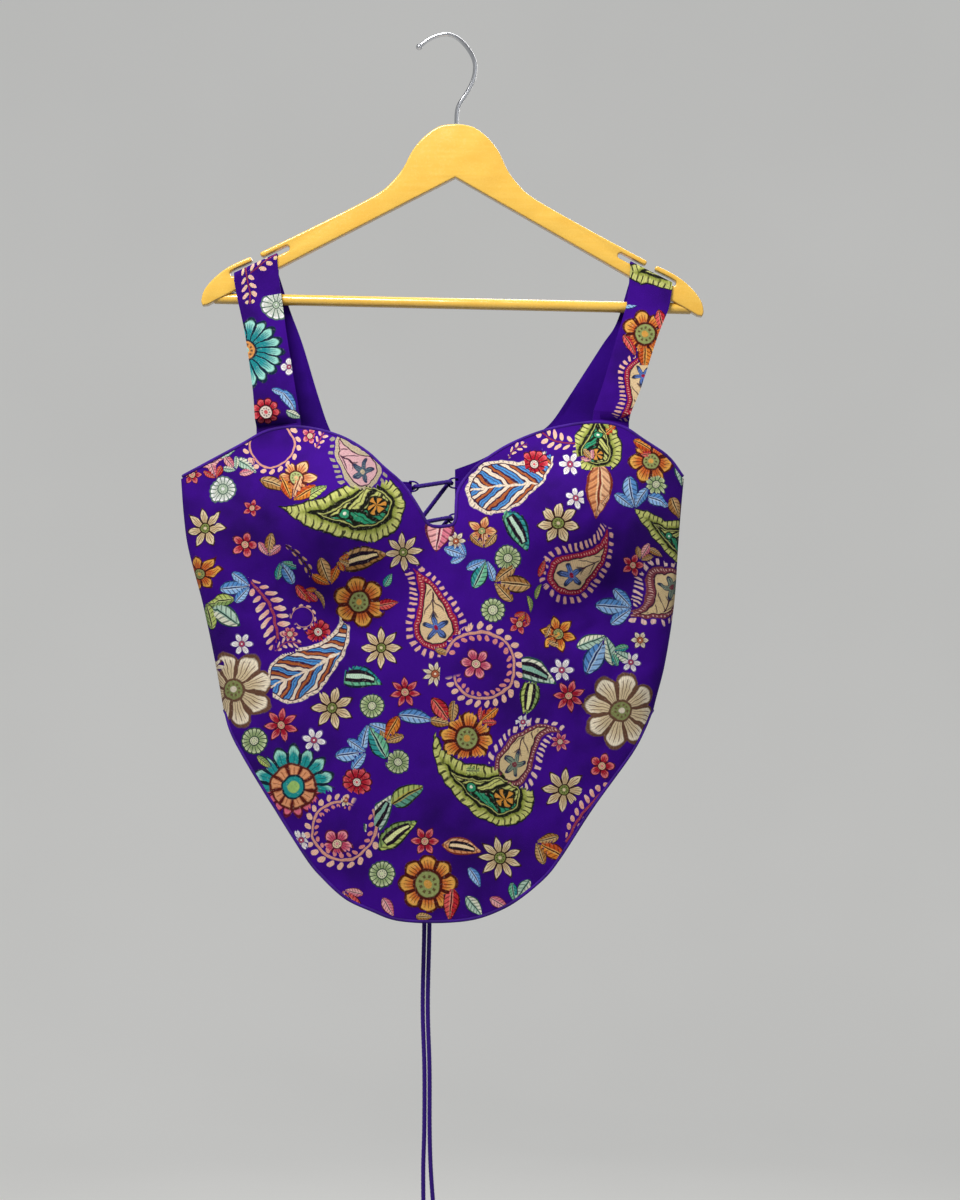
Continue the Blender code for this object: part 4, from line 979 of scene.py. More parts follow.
# Buds and small branches: x, y of the foot, length, turn, the middle leaf's tints and its neighbours'
sprays = (
    (292, 500, 40, -72, "peachLeaf", "orangeLeaf"), (268, 556, 24, -82, "tanLeaf", "pinkLeaf"),
    (281, 562, 26, 60, "blueLeaf", "tealLeaf"), (330, 585, 30, -110, "tanLeaf", "orangeLeaf"),
    (250, 586, 32, 175, "blueLeaf", "blueLeaf"), (206, 602, 40, 35, "whiteLeaf", "greenLeaf"),
    (634, 508, 34, -100, "blueLeaf", "blueLeaf"), (656, 452, 26, -150, "orangeLeaf", "redLeaf"),
    (484, 548, 28, -92, "peachLeaf", "tanLeaf"), (487, 560, 32, 115, "tealLeaf", "blueLeaf"),
    (494, 582, 38, 5, "tanLeaf", "tanLeaf"), (545, 640, 26, -25, "orangeLeaf", "tanLeaf"),
    (632, 608, 38, 185, "blueLeaf", "blueLeaf"), (606, 636, 44, 118, "blueLeaf", "whiteLeaf"),
    (612, 650, 24, 30, "whiteLeaf", "tealLeaf"), (368, 724, 40, 62, "tealLeaf", "blueLeaf"),
    (366, 752, 32, 172, "blueLeaf", "blueLeaf"), (384, 742, 30, -60, "orangeLeaf", "tanLeaf"),
    (452, 724, 34, -128, "redLeaf", "tanLeaf"), (480, 722, 24, -40, "orangeLeaf", "redLeaf"),
    (536, 842, 34, 28, "orangeLeaf", "tanLeaf"), (514, 902, 28, -55, "whiteLeaf", "tealLeaf"),
    (344, 890, 28, 55, "redLeaf", "pinkLeaf"), (526, 612, 18, 120, "orangeLeaf", "redLeaf"),
    (304, 590, 18, 40, "redLeaf", "orangeLeaf"), (640, 560, 20, -60, "pinkLeaf", "tanLeaf"),
    (466, 556, 24, -160, "blueLeaf", "blueLeaf"), (216, 478, 20, -110, "pinkLeaf", "redLeaf"),
    (338, 560, 18, 20, "tanLeaf", "orangeLeaf"), (256, 470, 24, -150, "whiteLeaf", "pinkLeaf"),
    (236, 470, 20, -130, "pinkLeaf", "whiteLeaf"), (592, 460, 16, -130, "tanLeaf", "pinkLeaf"),
    (236, 760, 18, 60, "tealLeaf", "greenLeaf"),
)
strapPrint = {
    "left": {
        "flower": ((276, 305, 16, 0, "pale", 12, 0.05, 0.2), (246, 350, 40, 0, "tealDaisy", 18, 0.16, 0.24),
                   (266, 412, 15, 0, "rosette", 9, 0.20, 0.40), (289, 367, 9, 0, "white", 4, 0.4, 0.24)),
        "fern": ((258, 268, 21, -28, "pinkRay", 0.1, 0.5, 16), (247, 285, 20, 78, "pinkRay", 0.1, 0.5, 16)),
        "leaf": ((288, 400, 15, 55, "blueLeaf", 0.4, 0.1), (294, 415, 9, 20, "whiteLeaf", 0.4),
                 (280, 392, 9, 20, "blueLeaf", 0.4)),
    },
    "right": {
        "paisley": ((664, 272, 50, 172, "lime", 0.1, 1, 1.0),),
        "rayPaisley": ((640, 390, 42, 100, "ray", 0.16, 1),),
        "flower": ((645, 334, 25, 0, "orange", 7, 0.22, 0.40),),
        "leaf": ((632, 303, 12, -20, "blueLeaf", 0.5), (630, 345, 13, 60, "redLeaf", 0.4, 0.1),
                 (661, 322, 13, 80, "redLeaf", 0.45), (645, 357, 13, 90, "orangeLeaf", 0.55)),
    },
}


def leavesOf(rows):
    # A spray as three leaves from one foot
    found = []
    for x, y, size, turn, middle, beside in rows:
        for lean, share, tints in ((0, 1.0, middle), (-42, 0.72, beside), (42, 0.72, beside)):
            a = math.radians(turn + lean)
            half = size * share / 2
            middleX, middleY = x + math.cos(a) * half, y + math.sin(a) * half
            found.append((middleX, middleY, half, turn + lean + 180, tints, 0.46))
    return tuple(found)


bodicePrint["leaf"] += leavesOf(sprays)


def photoPlace(points):
    # Where points of the part are seen, in the photo's pixels
    camera = np.array(cameraSizes["place"])
    away = -camera[1] / (points[..., 1] - camera[1])
    x = camera[0] + (points[..., 0] - camera[0]) * away
    z = camera[2] + (points[..., 2] - camera[2]) * away
    return np.stack([photo["middleX"] + x / photo["pixel"], photo["topY"] - z / photo["pixel"]], axis=-1)


def placeMotifs(table, seen, clothUv):
    # Each motif's place on the cloth, and the turn from cloth lengths to its own p and q
    motifs = []
    slopeRow = np.gradient(seen, axis=0), np.gradient(clothUv, axis=0)
    slopeColumn = np.gradient(seen, axis=1), np.gradient(clothUv, axis=1)
    for kind, rows in table.items():
        for row in rows:
            x, y, size, turn, tints = row[:5]
            form = list(row[5:]) + [0.0] * (8 - len(row))
            gap = np.hypot(seen[..., 0] - x, seen[..., 1] - y)
            i, j = np.unravel_index(np.argmin(gap), gap.shape)
            seenStep = np.stack([slopeRow[0][i, j], slopeColumn[0][i, j]], axis=1)
            clothStep = np.stack([slopeRow[1][i, j], slopeColumn[1][i, j]], axis=1)
            toSeen = seenStep @ np.linalg.inv(clothStep)
            spot = clothUv[i, j] + np.linalg.inv(toSeen) @ (np.array([x, y]) - seen[i, j])
            a = math.radians(turn)
            along, beside = np.array([math.cos(a), math.sin(a)]), np.array([-math.sin(a), math.cos(a)])
            if "aisley" in kind:
                beside = beside * form[1]
                form[2] = form[2] or 1.0
            motifs.append({"kind": kind, "spot": spot, "size": size, "tints": tintSets[tints].split(),
                           "form": form[:3], "turn": np.stack([along, beside]) @ toSeen / size})
    return motifs


cells = {  # how much of the cloth each motif claims round its middle, in its own lengths
    "reach": 2.05, "leaf": 1.25, "paisley": 0.66, "fern": 0.7, "flower": 0.92, "ring": 0.82, "ringHalf": 0.26,
    "large": 0.004, "outside": 0.35,
}


def claimOf(motif, local):
    # 1 at the motif's edge; small motifs stand on top of large ones where they meet
    kind = motif["kind"]
    narrow = 1.0
    if kind == "leaf":
        narrow = cells["leaf"] * motif["form"][0]
    elif "aisley" in kind:
        narrow = cells["paisley"]
    elif kind == "fern":
        narrow = cells["fern"]
    away = np.hypot(local[:, 0], local[:, 1] / narrow)
    if kind == "vine":
        away = np.abs(away - cells["ring"]) / cells["ringHalf"]
    elif kind == "flower":
        away = away / cells["flower"]
    return away + np.where(away < 1.0, motif["size"] * cells["large"], cells["outside"])


def printCloth(piece, row, column, clothUv, motifs, looks):
    # Gives each face its nearest motif: the slot, the tints, and p and q at its corners
    mesh = piece.data
    perVertex = clothUv[row, column]
    mesh.uv_layers[0].name = "cloth"
    writeUv(mesh, "cloth", perVertex)
    corners = loopVertices(mesh).reshape(-1, 4)
    centres = perVertex[corners].mean(axis=1)
    best = np.full(len(corners), 1e9)
    chosen = np.full(len(corners), -1)
    for number, motif in enumerate(motifs):
        claim = claimOf(motif, (centres - motif["spot"]) @ motif["turn"].T)
        better = claim < best
        best[better] = claim[better]
        chosen[better] = number
    uv = np.zeros((len(corners), 4, 2), dtype=np.float32)
    slots = np.zeros(len(corners), dtype=np.int32)
    tints = np.zeros((4, len(corners), 4), dtype=np.float32)
    forms = np.zeros((len(corners), 3), dtype=np.float32)
    for number, motif in enumerate(motifs):
        mine = (chosen == number) & (best < cells["reach"])
        uv[mine] = (perVertex[corners[mine]] - motif["spot"]) @ motif["turn"].T
        slots[mine] = kinds.index(motif["kind"])
        tints[:, mine] = np.array([linear(code) for code in motif["tints"]])[:, None]
        forms[mine] = motif["form"]
    mesh.uv_layers.new(name="motif").data.foreach_set("uv", uv.ravel())
    for letter, values in zip("ABCD", tints):
        mesh.attributes.new("tint" + letter, "FLOAT_COLOR", "FACE").data.foreach_set("color", values.ravel())
    mesh.attributes.new("form", "FLOAT_VECTOR", "FACE").data.foreach_set("vector", forms.ravel())
    for look in looks:
        mesh.materials.append(look)
    mesh.polygons.foreach_set("material_index", slots)
    mesh.update()


def thicken(piece, offset=-1.0):
    # The inside and the rims take the last slot, the lining
    lining = len(piece.data.materials) - 1
    applyModifier(piece, "SOLIDIFY", thickness=cloth["wall"], offset=offset, use_even_offset=True,
                  material_offset=lining, material_offset_rim=lining)
    smoothBelow(50)


# The front

frontSizes = {
    "columns": 176, "rows": 168, "notch": (-0.045, 0.024), "notchSteps": 26, "evenness": 0.35,
    "raster": 0.002, "left": -0.250, "right": 0.230, "bottom": -0.790, "top": -0.326,
    "middle": -0.010, "waist": -0.560, "steepest": 2.5,
}


def edgePath(points, intoCloth, seamZ):
    path = setBack(smoothPath(points), intoCloth)
    for end, side in ((0, -1), (-1, 1)):
        path[end] = Vector((sideX(seamZ, side), seamZ))
    return path


def frontEdges():
    inset = 2 * cloth["piping"] + cloth["gap"]
    top = edgePath(edges["top"], inset, cloth["seamTop"] - inset)
    hem = edgePath(edges["hem"], -inset, cloth["seamBottom"] + inset)
    along = lengthsAlong(top)
    near = [at / along[-1] for point, at in zip(top, along)
            if frontSizes["notch"][0] < point.x < frontSizes["notch"][1]]
    start, end = near[0], near[-1]
    count = frontSizes["columns"]
    inner = [mixed(i / count, 0.5 - 0.5 * math.cos(math.pi * i / count), frontSizes["evenness"])
             for i in range(1, count)]
    inner = [share for share in inner if not start - 0.002 < share < end + 0.002]
    steps = frontSizes["notchSteps"]
    inner += [mixed(start, end, i / steps) for i in range(steps + 1)]
    shares = [0.0, 0.0, 0.001] + sorted(inner) + [0.999, 1.0, 1.0]
    found = []
    for path in (top, hem):
        along = lengthsAlong(path)
        found.append(np.array([tuple(atLength(path, along, along[-1] * share)) for share in shares]))
    return found


def frontCloth():
    # How far the cloth runs across and up to each place, on a fine raster
    step = frontSizes["raster"]
    xs = np.arange(frontSizes["left"], frontSizes["right"], step)
    zs = np.arange(frontSizes["bottom"], frontSizes["top"], step)
    x, z = np.meshgrid(xs, zs, indexing="ij")
    y = frontY(x, z)
    steepest = frontSizes["steepest"]
    slopeX = np.clip(np.gradient(y, step, axis=0), -steepest, steepest)
    slopeZ = np.clip(np.gradient(y, step, axis=1), -steepest, steepest)
    across = np.cumsum(np.sqrt(1 + slopeX ** 2), axis=0) * step
    up = np.cumsum(np.sqrt(1 + slopeZ ** 2), axis=1) * step
    middle = int(round((frontSizes["middle"] - xs[0]) / step))
    waist = int(round((frontSizes["waist"] - zs[0]) / step))
    across = across - across[middle:middle + 1, :]
    up = up - up[:, waist:waist + 1]

    def read(px, pz):
        fx = np.clip((px - xs[0]) / step, 0, len(xs) - 1.001)
        fz = np.clip((pz - zs[0]) / step, 0, len(zs) - 1.001)
        i, j = fx.astype(int), fz.astype(int)
        a, b = fx - i, fz - j
        found = []
        for values in (across, up):
            found.append(values[i, j] * (1 - a) * (1 - b) + values[i + 1, j] * a * (1 - b)
                         + values[i, j + 1] * (1 - a) * b + values[i + 1, j + 1] * a * b)
        return np.stack(found, axis=-1)

    return read


def addFront(looks):
    top, hem = frontEdges()
    rows = frontSizes["rows"]
    up = np.linspace(0.0, 1.0, rows + 1)[:, None]
    z = mixed(hem[None, :, 1], top[None, :, 1], up)
    across = mixed(acrossAt(hem[:, 0], hem[:, 1])[None, :], acrossAt(top[:, 0], top[:, 1])[None, :], up)
    x = sectionAt(z, "centre") + sectionAt(z, "half") * across
    y = frontY(x, z)
    y[:, [0, -1]] = -cloth["gap"] / 2
    points = np.stack([x, y, z], axis=-1)
    clothUv = frontCloth()(x, z)
    piece, row, column = gridPiece("front_cloth", points)
    # The outermost columns fold round the seam, so their neighbours' places serve for the motifs
    seen = photoPlace(points)
    inner = slice(2, -2)
    motifs = placeMotifs(bodicePrint, seen[:, inner], clothUv[:, inner])
    printCloth(piece, row, column, clothUv, motifs, looks)
    thicken(piece)
    finishPiece(piece, ["front"])
    return top, hem, motifs


def pipingPath(edge, outwards):
    points = [Vector(point) for point in edge[2:-2]]
    found = []
    for i in range(1, len(points) - 1):
        before = (points[i] - points[i - 1]).normalized()
        after = (points[i + 1] - points[i]).normalized()
        mitre = Vector((-(before.y + after.y), before.x + after.x)).normalized()
        point = points[i] + mitre * (outwards * (cloth["piping"] + cloth["gap"]))
        found.append(frontInside(point.x, point.y, cloth["wall"] / 2))
    return found


def addPiping(top, hem, look):
    for name, edge, outwards in (("neck_piping", top, 1), ("hem_piping", hem, -1)):
        path = evenly(pipingPath(edge, outwards), 330)
        piece = tubePiece(name + "_cloth", path, cloth["piping"] + cloth["gap"], 12)
        dress(piece, look)
        finishPiece(piece, [name])


# The straps and the back

slots = {"below": 0.0068, "half": 0.0025, "from": 0.1445, "to": 0.1936, "mouth": (0.1690, 0.1762)}
hanger = {
    "top": Vector((0.0074, 0.0, -0.0775)), "tilt": math.radians(1.25), "thickness": 0.012, "edge": 0.0015,
    "apex": 0.0467, "tip": (0.2145, 0.1630), "barRadius": 0.00485, "barDown": 0.1565, "barHalf": 0.2085,
    "bore": 0.014, "wire": 0.00185, "clear": 0.0003, "inBore": 0.0006,
}
armTop = ((0.0, 0.0), (0.0095, 0.0010), (0.0175, 0.0038), (0.0280, 0.0118), (0.0377, 0.0237),
          (0.0456, 0.0394), (0.0543, 0.0508), (0.0657, 0.0613), (0.0876, 0.0740), (0.1200, 0.0911),
          (0.1490, 0.1060), (0.1664, 0.1148), (0.1796, 0.1209), (0.1962, 0.1292), (0.2090, 0.1395),
          (0.2172, 0.1500), (0.2196, 0.1590), (0.2185, 0.1635))
strapRows = {  # left x, left z, right x, right z, y
    "left": ((-0.1672, -0.3360, -0.1285, -0.3330, -0.0190), (-0.1697, -0.3072, -0.1326, -0.3084, -0.0172),
             (-0.1763, -0.2635, -0.1385, -0.2745, -0.0120), (-0.1831, -0.2329, -0.1455, -0.2264, -0.0086)),
    "right": ((0.1265, -0.3295, 0.1585, -0.3320, -0.0182), (0.1345, -0.3072, 0.1680, -0.3084, -0.0172),
              (0.1475, -0.2635, 0.1823, -0.2650, -0.0120), (0.1560, -0.2360, 0.1925, -0.2400, -0.0086)),
}
strapSizes = {
    "columns": 30, "tuck": 0.021, "tuckRows": 7, "seen": 0.150,
    "fulness": 0.0011, "wave": 0.0004, "waveRun": 0.011,
}
slotSpans = {"left": (-0.1865, -0.1490), "right": (0.1592, 0.1955)}
overSlot = ((-0.0077, -0.0050), (-0.0076, -0.0010), (-0.0066, 0.0010), (-0.0048, 0.0017),
            (0.0048, 0.0017), (0.0066, 0.0010), (0.0076, -0.0010), (0.0077, -0.0140))
backRows = {  # side x, side z, inner x, inner z, y
    "left": ((-0.1775, -0.2500, -0.1390, -0.2390, 0.0085), (-0.1735, -0.2700, -0.1280, -0.2690, 0.0100),
             (-0.1668, -0.3128, -0.1149, -0.3128, 0.0125), (-0.1640, -0.3400, -0.1044, -0.3436, 0.0140),
             (-0.1705, -0.3620, -0.0912, -0.3656, 0.0140), (-0.1900, -0.3770, -0.0736, -0.3805, 0.0140),
             (-0.2150, -0.3845, -0.0540, -0.3875, 0.0140), (-0.2337, -0.3890, -0.0321, -0.3895, 0.0140)),
    "right": ((0.1868, -0.2500, 0.1480, -0.2500, 0.0085), (0.1790, -0.2700, 0.1350, -0.2700, 0.0100),
              (0.1648, -0.3128, 0.1074, -0.3128, 0.0125), (0.1560, -0.3400, 0.0880, -0.3400, 0.0140),
              (0.1590, -0.3600, 0.0678, -0.3506, 0.0140), (0.1730, -0.3735, 0.0450, -0.3615, 0.0140),
              (0.1920, -0.3820, 0.0260, -0.3710, 0.0140), (0.2064, -0.3880, 0.0059, -0.3785, 0.0140)),
}
backSizes = {
    "hemDip": 0.024, "strapToBody": (-0.330, -0.383), "bodyRows": 90, "rowSteps": 9, "columns": 70,
    "bunching": 0.6, "rippleLeft": 11, "rippleRight": 12, "rippleSize": 0.00018,
    "printLeft": 0.046, "printRight": -0.031, "printLifts": (-0.442, -0.037),  # where the cloth was cut
}


def setDown(path, distance):
    return [Vector((p.x, p.y)) for p in setBack(path, -distance)]


def onPath(path, x):
    for a, b in zip(path, path[1:]):
        if a.x <= x <= b.x:
            return a.lerp(b, (x - a.x) / (b.x - a.x))
    return path[-1]


def slotFloor(x):
    side = 1 if x > hanger["top"].x else -1
    floor = setDown(smoothPath(armTop, 4), slots["below"] + slots["half"])
    point = onPath(floor, abs(x - hanger["top"].x))
    out = abs(x - hanger["top"].x) + side * point.y * math.sin(hanger["tilt"])
    point = onPath(floor, out)
    return hanger["top"].z - point.y - side * math.sin(hanger["tilt"]) * out


def addStrap(hand, looks):
    # The front strap, from behind the cup over the slot's floor to behind the arm
    columns = strapSizes["columns"]
    shares = np.linspace(0.0, 1.0, columns + 1)
    stations = [tuple(v) for v in smoothPath(strapRows[hand], 16)]
    lines = []
    low = stations[0]
    inside = cloth["wall"] + cloth["piping"] + 2 * cloth["gap"]
    for drop in np.linspace(1.0, 0.25, strapSizes["tuckRows"]) * strapSizes["tuck"]:
        lines.append([frontInside(mixed(low[0], low[2], s), mixed(low[1], low[3], s) - drop, inside)
                      for s in shares])
    for x0, z0, x1, z1, y in stations:
        lines.append([Vector((mixed(x0, x1, s), y, mixed(z0, z1, s))) for s in shares])
    left, right = slotSpans[hand]
    floorLeft, floorRight = slotFloor(left), slotFloor(right)
    for y, rise in [tuple(v) for v in smoothPath(overSlot, 4)]:
        lines.append([Vector((mixed(left, right, s), y, mixed(floorLeft, floorRight, s) + rise))
                      for s in shares])
    points = np.array([[tuple(point) for point in line] for line in lines])
    # A little fulness across the width, and pulled in where it bends
    swell = np.sin(np.pi * shares)[None, :]
    steps = np.linalg.norm(np.diff(points[:, columns // 2], axis=0), axis=1)
    lengths = np.concatenate([[0], np.cumsum(steps)])
    free = (smooth(0.020, 0.035, lengths) * (1 - smooth(0.105, 0.125, lengths)))[:, None]
    wave = np.sin(lengths[:, None] / strapSizes["waveRun"]) * np.cos(3 * np.pi * shares)[None, :]
    points[..., 1] -= free * (strapSizes["fulness"] * swell + strapSizes["wave"] * wave)
    widths = np.linalg.norm(points[:, -1] - points[:, 0], axis=1)
    clothUv = np.stack([(shares[None, :] - 0.5) * widths[:, None],
                        np.repeat(lengths[:, None], columns + 1, axis=1)], axis=-1)
    piece, row, column = gridPiece("strap_" + hand + "_cloth", points)
    ahead = lengths < strapSizes["seen"]  # what can be seen from the front
    motifs = placeMotifs(strapPrint[hand], photoPlace(points[ahead]), clothUv[ahead])
    printCloth(piece, row, column, clothUv, motifs, looks)
    thicken(piece, 0.0)
    finishPiece(piece, ["strap_" + hand])


def backStations(hand):
    span, side = slotSpans[hand], -1 if hand == "left" else 1
    sideEnd, innerEnd = span if side < 0 else span[::-1]
    drop = overSlot[-1][1] - cloth["gap"]
    first = (sideEnd, slotFloor(sideEnd) + drop, innerEnd, slotFloor(innerEnd) + drop, overSlot[-1][0])
    stations = [tuple(v) for v in smoothPath([first] + list(backRows[hand]), backSizes["rowSteps"])]
    _, startSide, _, startInner, y = backRows[hand][-1]
    count = backSizes["bodyRows"]
    for i in range(1, count + 1):
        down = i / count
        sideZ = mixed(startSide, cloth["seamBottom"], down)
        innerZ = mixed(startInner, cloth["seamBottom"] - backSizes["hemDip"], down)
        stations.append((sideX(sideZ, side), sideZ, lacing[hand], innerZ, y))
    return stations


def addBack(hand, looks, motifSource):
    side = -1 if hand == "left" else 1
    count = backSizes["columns"]
    shares = [mixed(i / count, 1.0 - math.cos(math.pi / 2 * i / count), backSizes["bunching"])
              for i in range(1, count + 1)]
    shares = np.array([0.0, 0.0] + shares)
    named = hand.capitalize()
    lines = []
    for sideX0, sideZ, innerX, innerZ, strapY in backStations(hand):
        seam = smooth(backRows[hand][-2][1], backRows[hand][-1][1], sideZ)
        x = mixed(sideX0 - side * cloth["seamFlat"] * (1.0 - seam), innerX, shares)
        x[0] = sideX0
        z = mixed(sideZ, innerZ, shares)
        body = smooth(backSizes["strapToBody"][0], backSizes["strapToBody"][1], z)
        y = mixed(strapY, backY(x, z), body)
        calm = smooth(0.0, 0.08, shares) * (1 - smooth(0.9, 1.0, shares))
        uneven = ripple(x, z, backSizes["ripple" + named], backSizes["rippleSize"])
        y = y + uneven * calm * smooth(-0.25, -0.30, z)
        y[0] = mixed(y[0], cloth["gap"] / 2, seam)
        line = np.stack([x, y, z], axis=1)
        lines.append(line if side > 0 else line[::-1])
    points = np.array(lines)[::-1]
    clothUv = np.stack([-points[..., 0], points[..., 2]], axis=-1)
    piece, row, column = gridPiece("back_" + hand + "_cloth", points)
    # The same print, cut from another stretch of the cloth
    motifs = []
    for lift in backSizes["printLifts"]:
        for motif in motifSource:
            motifs.append(dict(motif, spot=motif["spot"] + np.array([backSizes["print" + named], lift])))
    printCloth(piece, row, column, clothUv, motifs, looks)
    thicken(piece)
    finishPiece(piece, ["back_" + hand])


def addLoopTape(hand, look):
    # The strip on the lining with its row of cord loops
    opening, side = lacing[hand], -1 if hand == "left" else 1
    rows = loopRows(lacing[hand + "First"])
    top, bottom = rows[0] + lacing["loopHalf"] * 0.4, rows[-1] - lacing["loopHalf"] * 2
    across = np.linspace(0.0, 1.0, 7)[::side]
    width, lean = side * lacing["tapeWidth"], lacing["tapeLean"]
    points = [[(opening + width * share, loopY(opening, z) - lean * share, z) for share in across]
              for z in np.linspace(bottom, top, 90)]
    strip, _, _ = gridPiece("loop_tape_" + hand + "_cloth", np.array(points))
    strip.data.uv_layers[0].name = "cloth"
    writeUv(strip.data, "cloth", np.array([v.co[:] for v in strip.data.vertices])[:, [0, 2]])
    applyModifier(strip, "SOLIDIFY", thickness=lacing["tape"], offset=0.0)
    applyModifier(strip, "BEVEL", width=0.0002, segments=2)
    loops = []
    for z in rows:
        y = loopY(opening, z)
        turn = []
        for i in range(25):
            angle = math.pi * i / 24
            turn.append(Vector((opening - side * lacing["loopReach"] * math.sin(angle), y,
                                z + lacing["loopHalf"] * math.cos(angle))))
        root = Vector((side * 0.0025, 0.0, 0.0))
        loop = tubePiece("loop", [turn[0] + root] + turn + [turn[-1] + root], lacing["thread"], 10,
                         plies=2, pitch=0.004)
        loop.data.uv_layers[0].name = "cloth"
        loops.append(loop)
    pick(strip)
    for loop in loops:
        loop.select_set(True)
    bpy.ops.object.join()
    dress(strip, look)
    strip.data.polygons.foreach_set("material_index", np.zeros(len(strip.data.polygons), dtype=np.int32))
    smoothBelow(40)
    finishPiece(strip, ["loop_tape_" + hand])


# The hanger

def arcRound(centre, radius, start, end, steps):
    angles = [math.radians(mixed(start, end, i / steps)) for i in range(steps + 1)]
    return [centre + Vector((math.cos(a), math.sin(a))) * radius for a in angles]


def armOutline():
    top = smoothPath(armTop, 8)
    below, half = slots["below"], slots["half"]
    roof, middle, floor = ([p for p in setDown(top, down) if slots["from"] <= p.x <= slots["to"]]
                           for down in (below - half, below, below + half))
    mouthIn, mouthOut = slots["mouth"]
    finger = (below - half) / 2
    outline = [p for p in top if p.x < mouthIn - 0.0019]
    outline += arcRound(onPath(setDown(top, finger), mouthIn - finger), finger, -58, 115, 12)
    outline += [p for p in reversed(roof) if p.x < mouthIn - finger - 0.001]
    outline += arcRound(middle[0], half, 305, 125, 10)
    outline += floor[1:-1]
    outline += arcRound(middle[-1], half, 118, -62, 10)
    outline += [p for p in reversed(roof) if p.x > mouthOut + finger + 0.001]
    outline += arcRound(onPath(setDown(top, finger), mouthOut + finger), finger, 122, 300, 12)
    outline += [p for p in top if p.x > mouthOut + 2 * finger]
    outline.append(Vector(hanger["tip"]))
    return outline


def hangerPlace():
    return Matrix.Translation(hanger["top"]) @ Matrix.Rotation(hanger["tilt"], 4, "Y")


hookWire = ((-0.0272, -0.0110), (-0.0222, -0.0063), (-0.0166, -0.0024), (-0.0085, 0.0011), (0.0, 0.0019),
            (0.0080, -0.0012), (0.0152, -0.0078), (0.0213, -0.0171), (0.0237, -0.0265), (0.0219, -0.0381),
            (0.0166, -0.0491), (0.0098, -0.0595), (0.0077, -0.0670), (0.0074, -0.0775))
hookBall = ((0.0, 0.45), (0.0005, 0.95), (0.0014, 1.35), (0.0028, 1.5), (0.0042, 1.3), (0.0052, 1.0))


def barPlace():
    return (hangerPlace() @ Matrix.Translation((0, 0, -hanger["barDown"]))
            @ Matrix.Rotation(math.pi / 2, 4, "Y"))


def cylinder(vertices, radius, depth, place):
    deselect()
    bpy.ops.mesh.primitive_cylinder_add(vertices=vertices, radius=radius, depth=depth)
    bpy.context.object.matrix_world = place
    return bpy.context.object


def addBody(look):
    half = armOutline()
    outline = [Vector((p.x, -p.y)) for p in half] + [Vector((0.0, -hanger["apex"]))]
    outline += [Vector((-p.x, -p.y)) for p in reversed(half[1:])]
    curve = bpy.data.curves.new("hanger_outline", "CURVE")
    curve.dimensions = "2D"
    curve.fill_mode = "BOTH"
    curve.extrude = hanger["thickness"] / 2 - hanger["edge"]
    curve.bevel_depth = hanger["edge"]
    curve.bevel_resolution = 3
    curve.offset = -hanger["edge"]
    spline = curve.splines.new("POLY")
    spline.points.add(len(outline) - 1)
    for target, point in zip(spline.points, outline):
        target.co = (point.x, point.y, 0.0, 1.0)
    spline.use_cyclic_u = True
    body = bpy.data.objects.new("hanger_wood_body", curve)
    bpy.context.scene.collection.objects.link(body)
    body.matrix_world = hangerPlace() @ Matrix.Rotation(math.radians(90), 4, "X")
    pick(body)
    bpy.ops.object.convert(target="MESH")
    body = bpy.context.object
    mergeDoubles(body, 0.00001)
    bpy.ops.object.transform_apply(location=True, rotation=True, scale=True)
    # The bar's holes and the hook's bore
    clear = hanger["clear"]
    for radius, depth, place in ((hanger["barRadius"] + clear, 2 * (hanger["barHalf"] + clear), barPlace()),
                                 (hanger["wire"] + clear, 2 * hanger["bore"], hangerPlace())):
        cutter = cylinder(40, radius, depth, place)
        applyModifier(body, "BOOLEAN", operation="DIFFERENCE", object=cutter)
        bpy.data.objects.remove(cutter)
    dress(body, look)
    pick(body)
    smoothBelow(35)
    finishPiece(body, ["hanger_body"])


def addBar(look):
    bar = cylinder(48, hanger["barRadius"], 2 * hanger["barHalf"], barPlace())
    bar.name = "hanger_wood_bar"
    applyModifier(bar, "BEVEL", width=0.0006, segments=3)
    dress(bar, look)
    smoothBelow(35)
    finishPiece(bar, ["hanger_bar"])


def addHook(look):
    route = [Vector((x, 0.0, z)) for x, z in hookWire]
    route.append(hanger["top"] - Vector((0.0, 0.0, hanger["bore"] - hanger["inBore"])))
    path = evenly(smoothPath(route[::-1], 10), 240)
    hook = tubePiece("hanger_hook_wire", path, hanger["wire"], 20, hookBall)
    dress(hook, look)
    finishPiece(hook, ["hanger_hook"])


lacquer = {
    "colour": "e9b846", "grain": "edc052", "shade": "e2a634", "stretch": (6.0, 40.0, 60.0), "rough": 0.22,
    "dull": 0.14, "coat": 0.5, "coatRough": 0.14, "relief": 0.00020,
}


def woodLookOf():
    # Yellow lacquer over wood: faint grain under it, a wavy gloss with small dents and dust
    pen = Pen("yellow_lacquer")
    place = pen.objectPlace()
    stretched = pen.node("Mapping", 0, {"Scale": lacquer["stretch"], "Vector": place})
    grain = pen.noise(stretched, 6.0, 6.0, 0.65)
    broad = pen.noise(place, 22.0, 2.0)
    fine = pen.noise(place, 380.0, 2.0)
    colour = pen.over(linear(lacquer["colour"]), pen.rise(grain, 0.3, 0.75), linear(lacquer["grain"]))
    colour = pen.over(colour, pen.rise(broad, 0.45, 0.75), linear(lacquer["shade"]), 0.3)
    rough = pen.rise(fine, 0.4, 0.8) * lacquer["dull"] + lacquer["rough"]
    waves = pen.noise(place, 30.0, 1.0) * 8.0
    pen.bump(waves + (grain * 0.25 + fine * 0.06), lacquer["relief"])
    return pen.surface(colour, rough, Coat_Weight=lacquer["coat"], Coat_Roughness=lacquer["coatRough"],
                       Specular_IOR_Level=0.5)


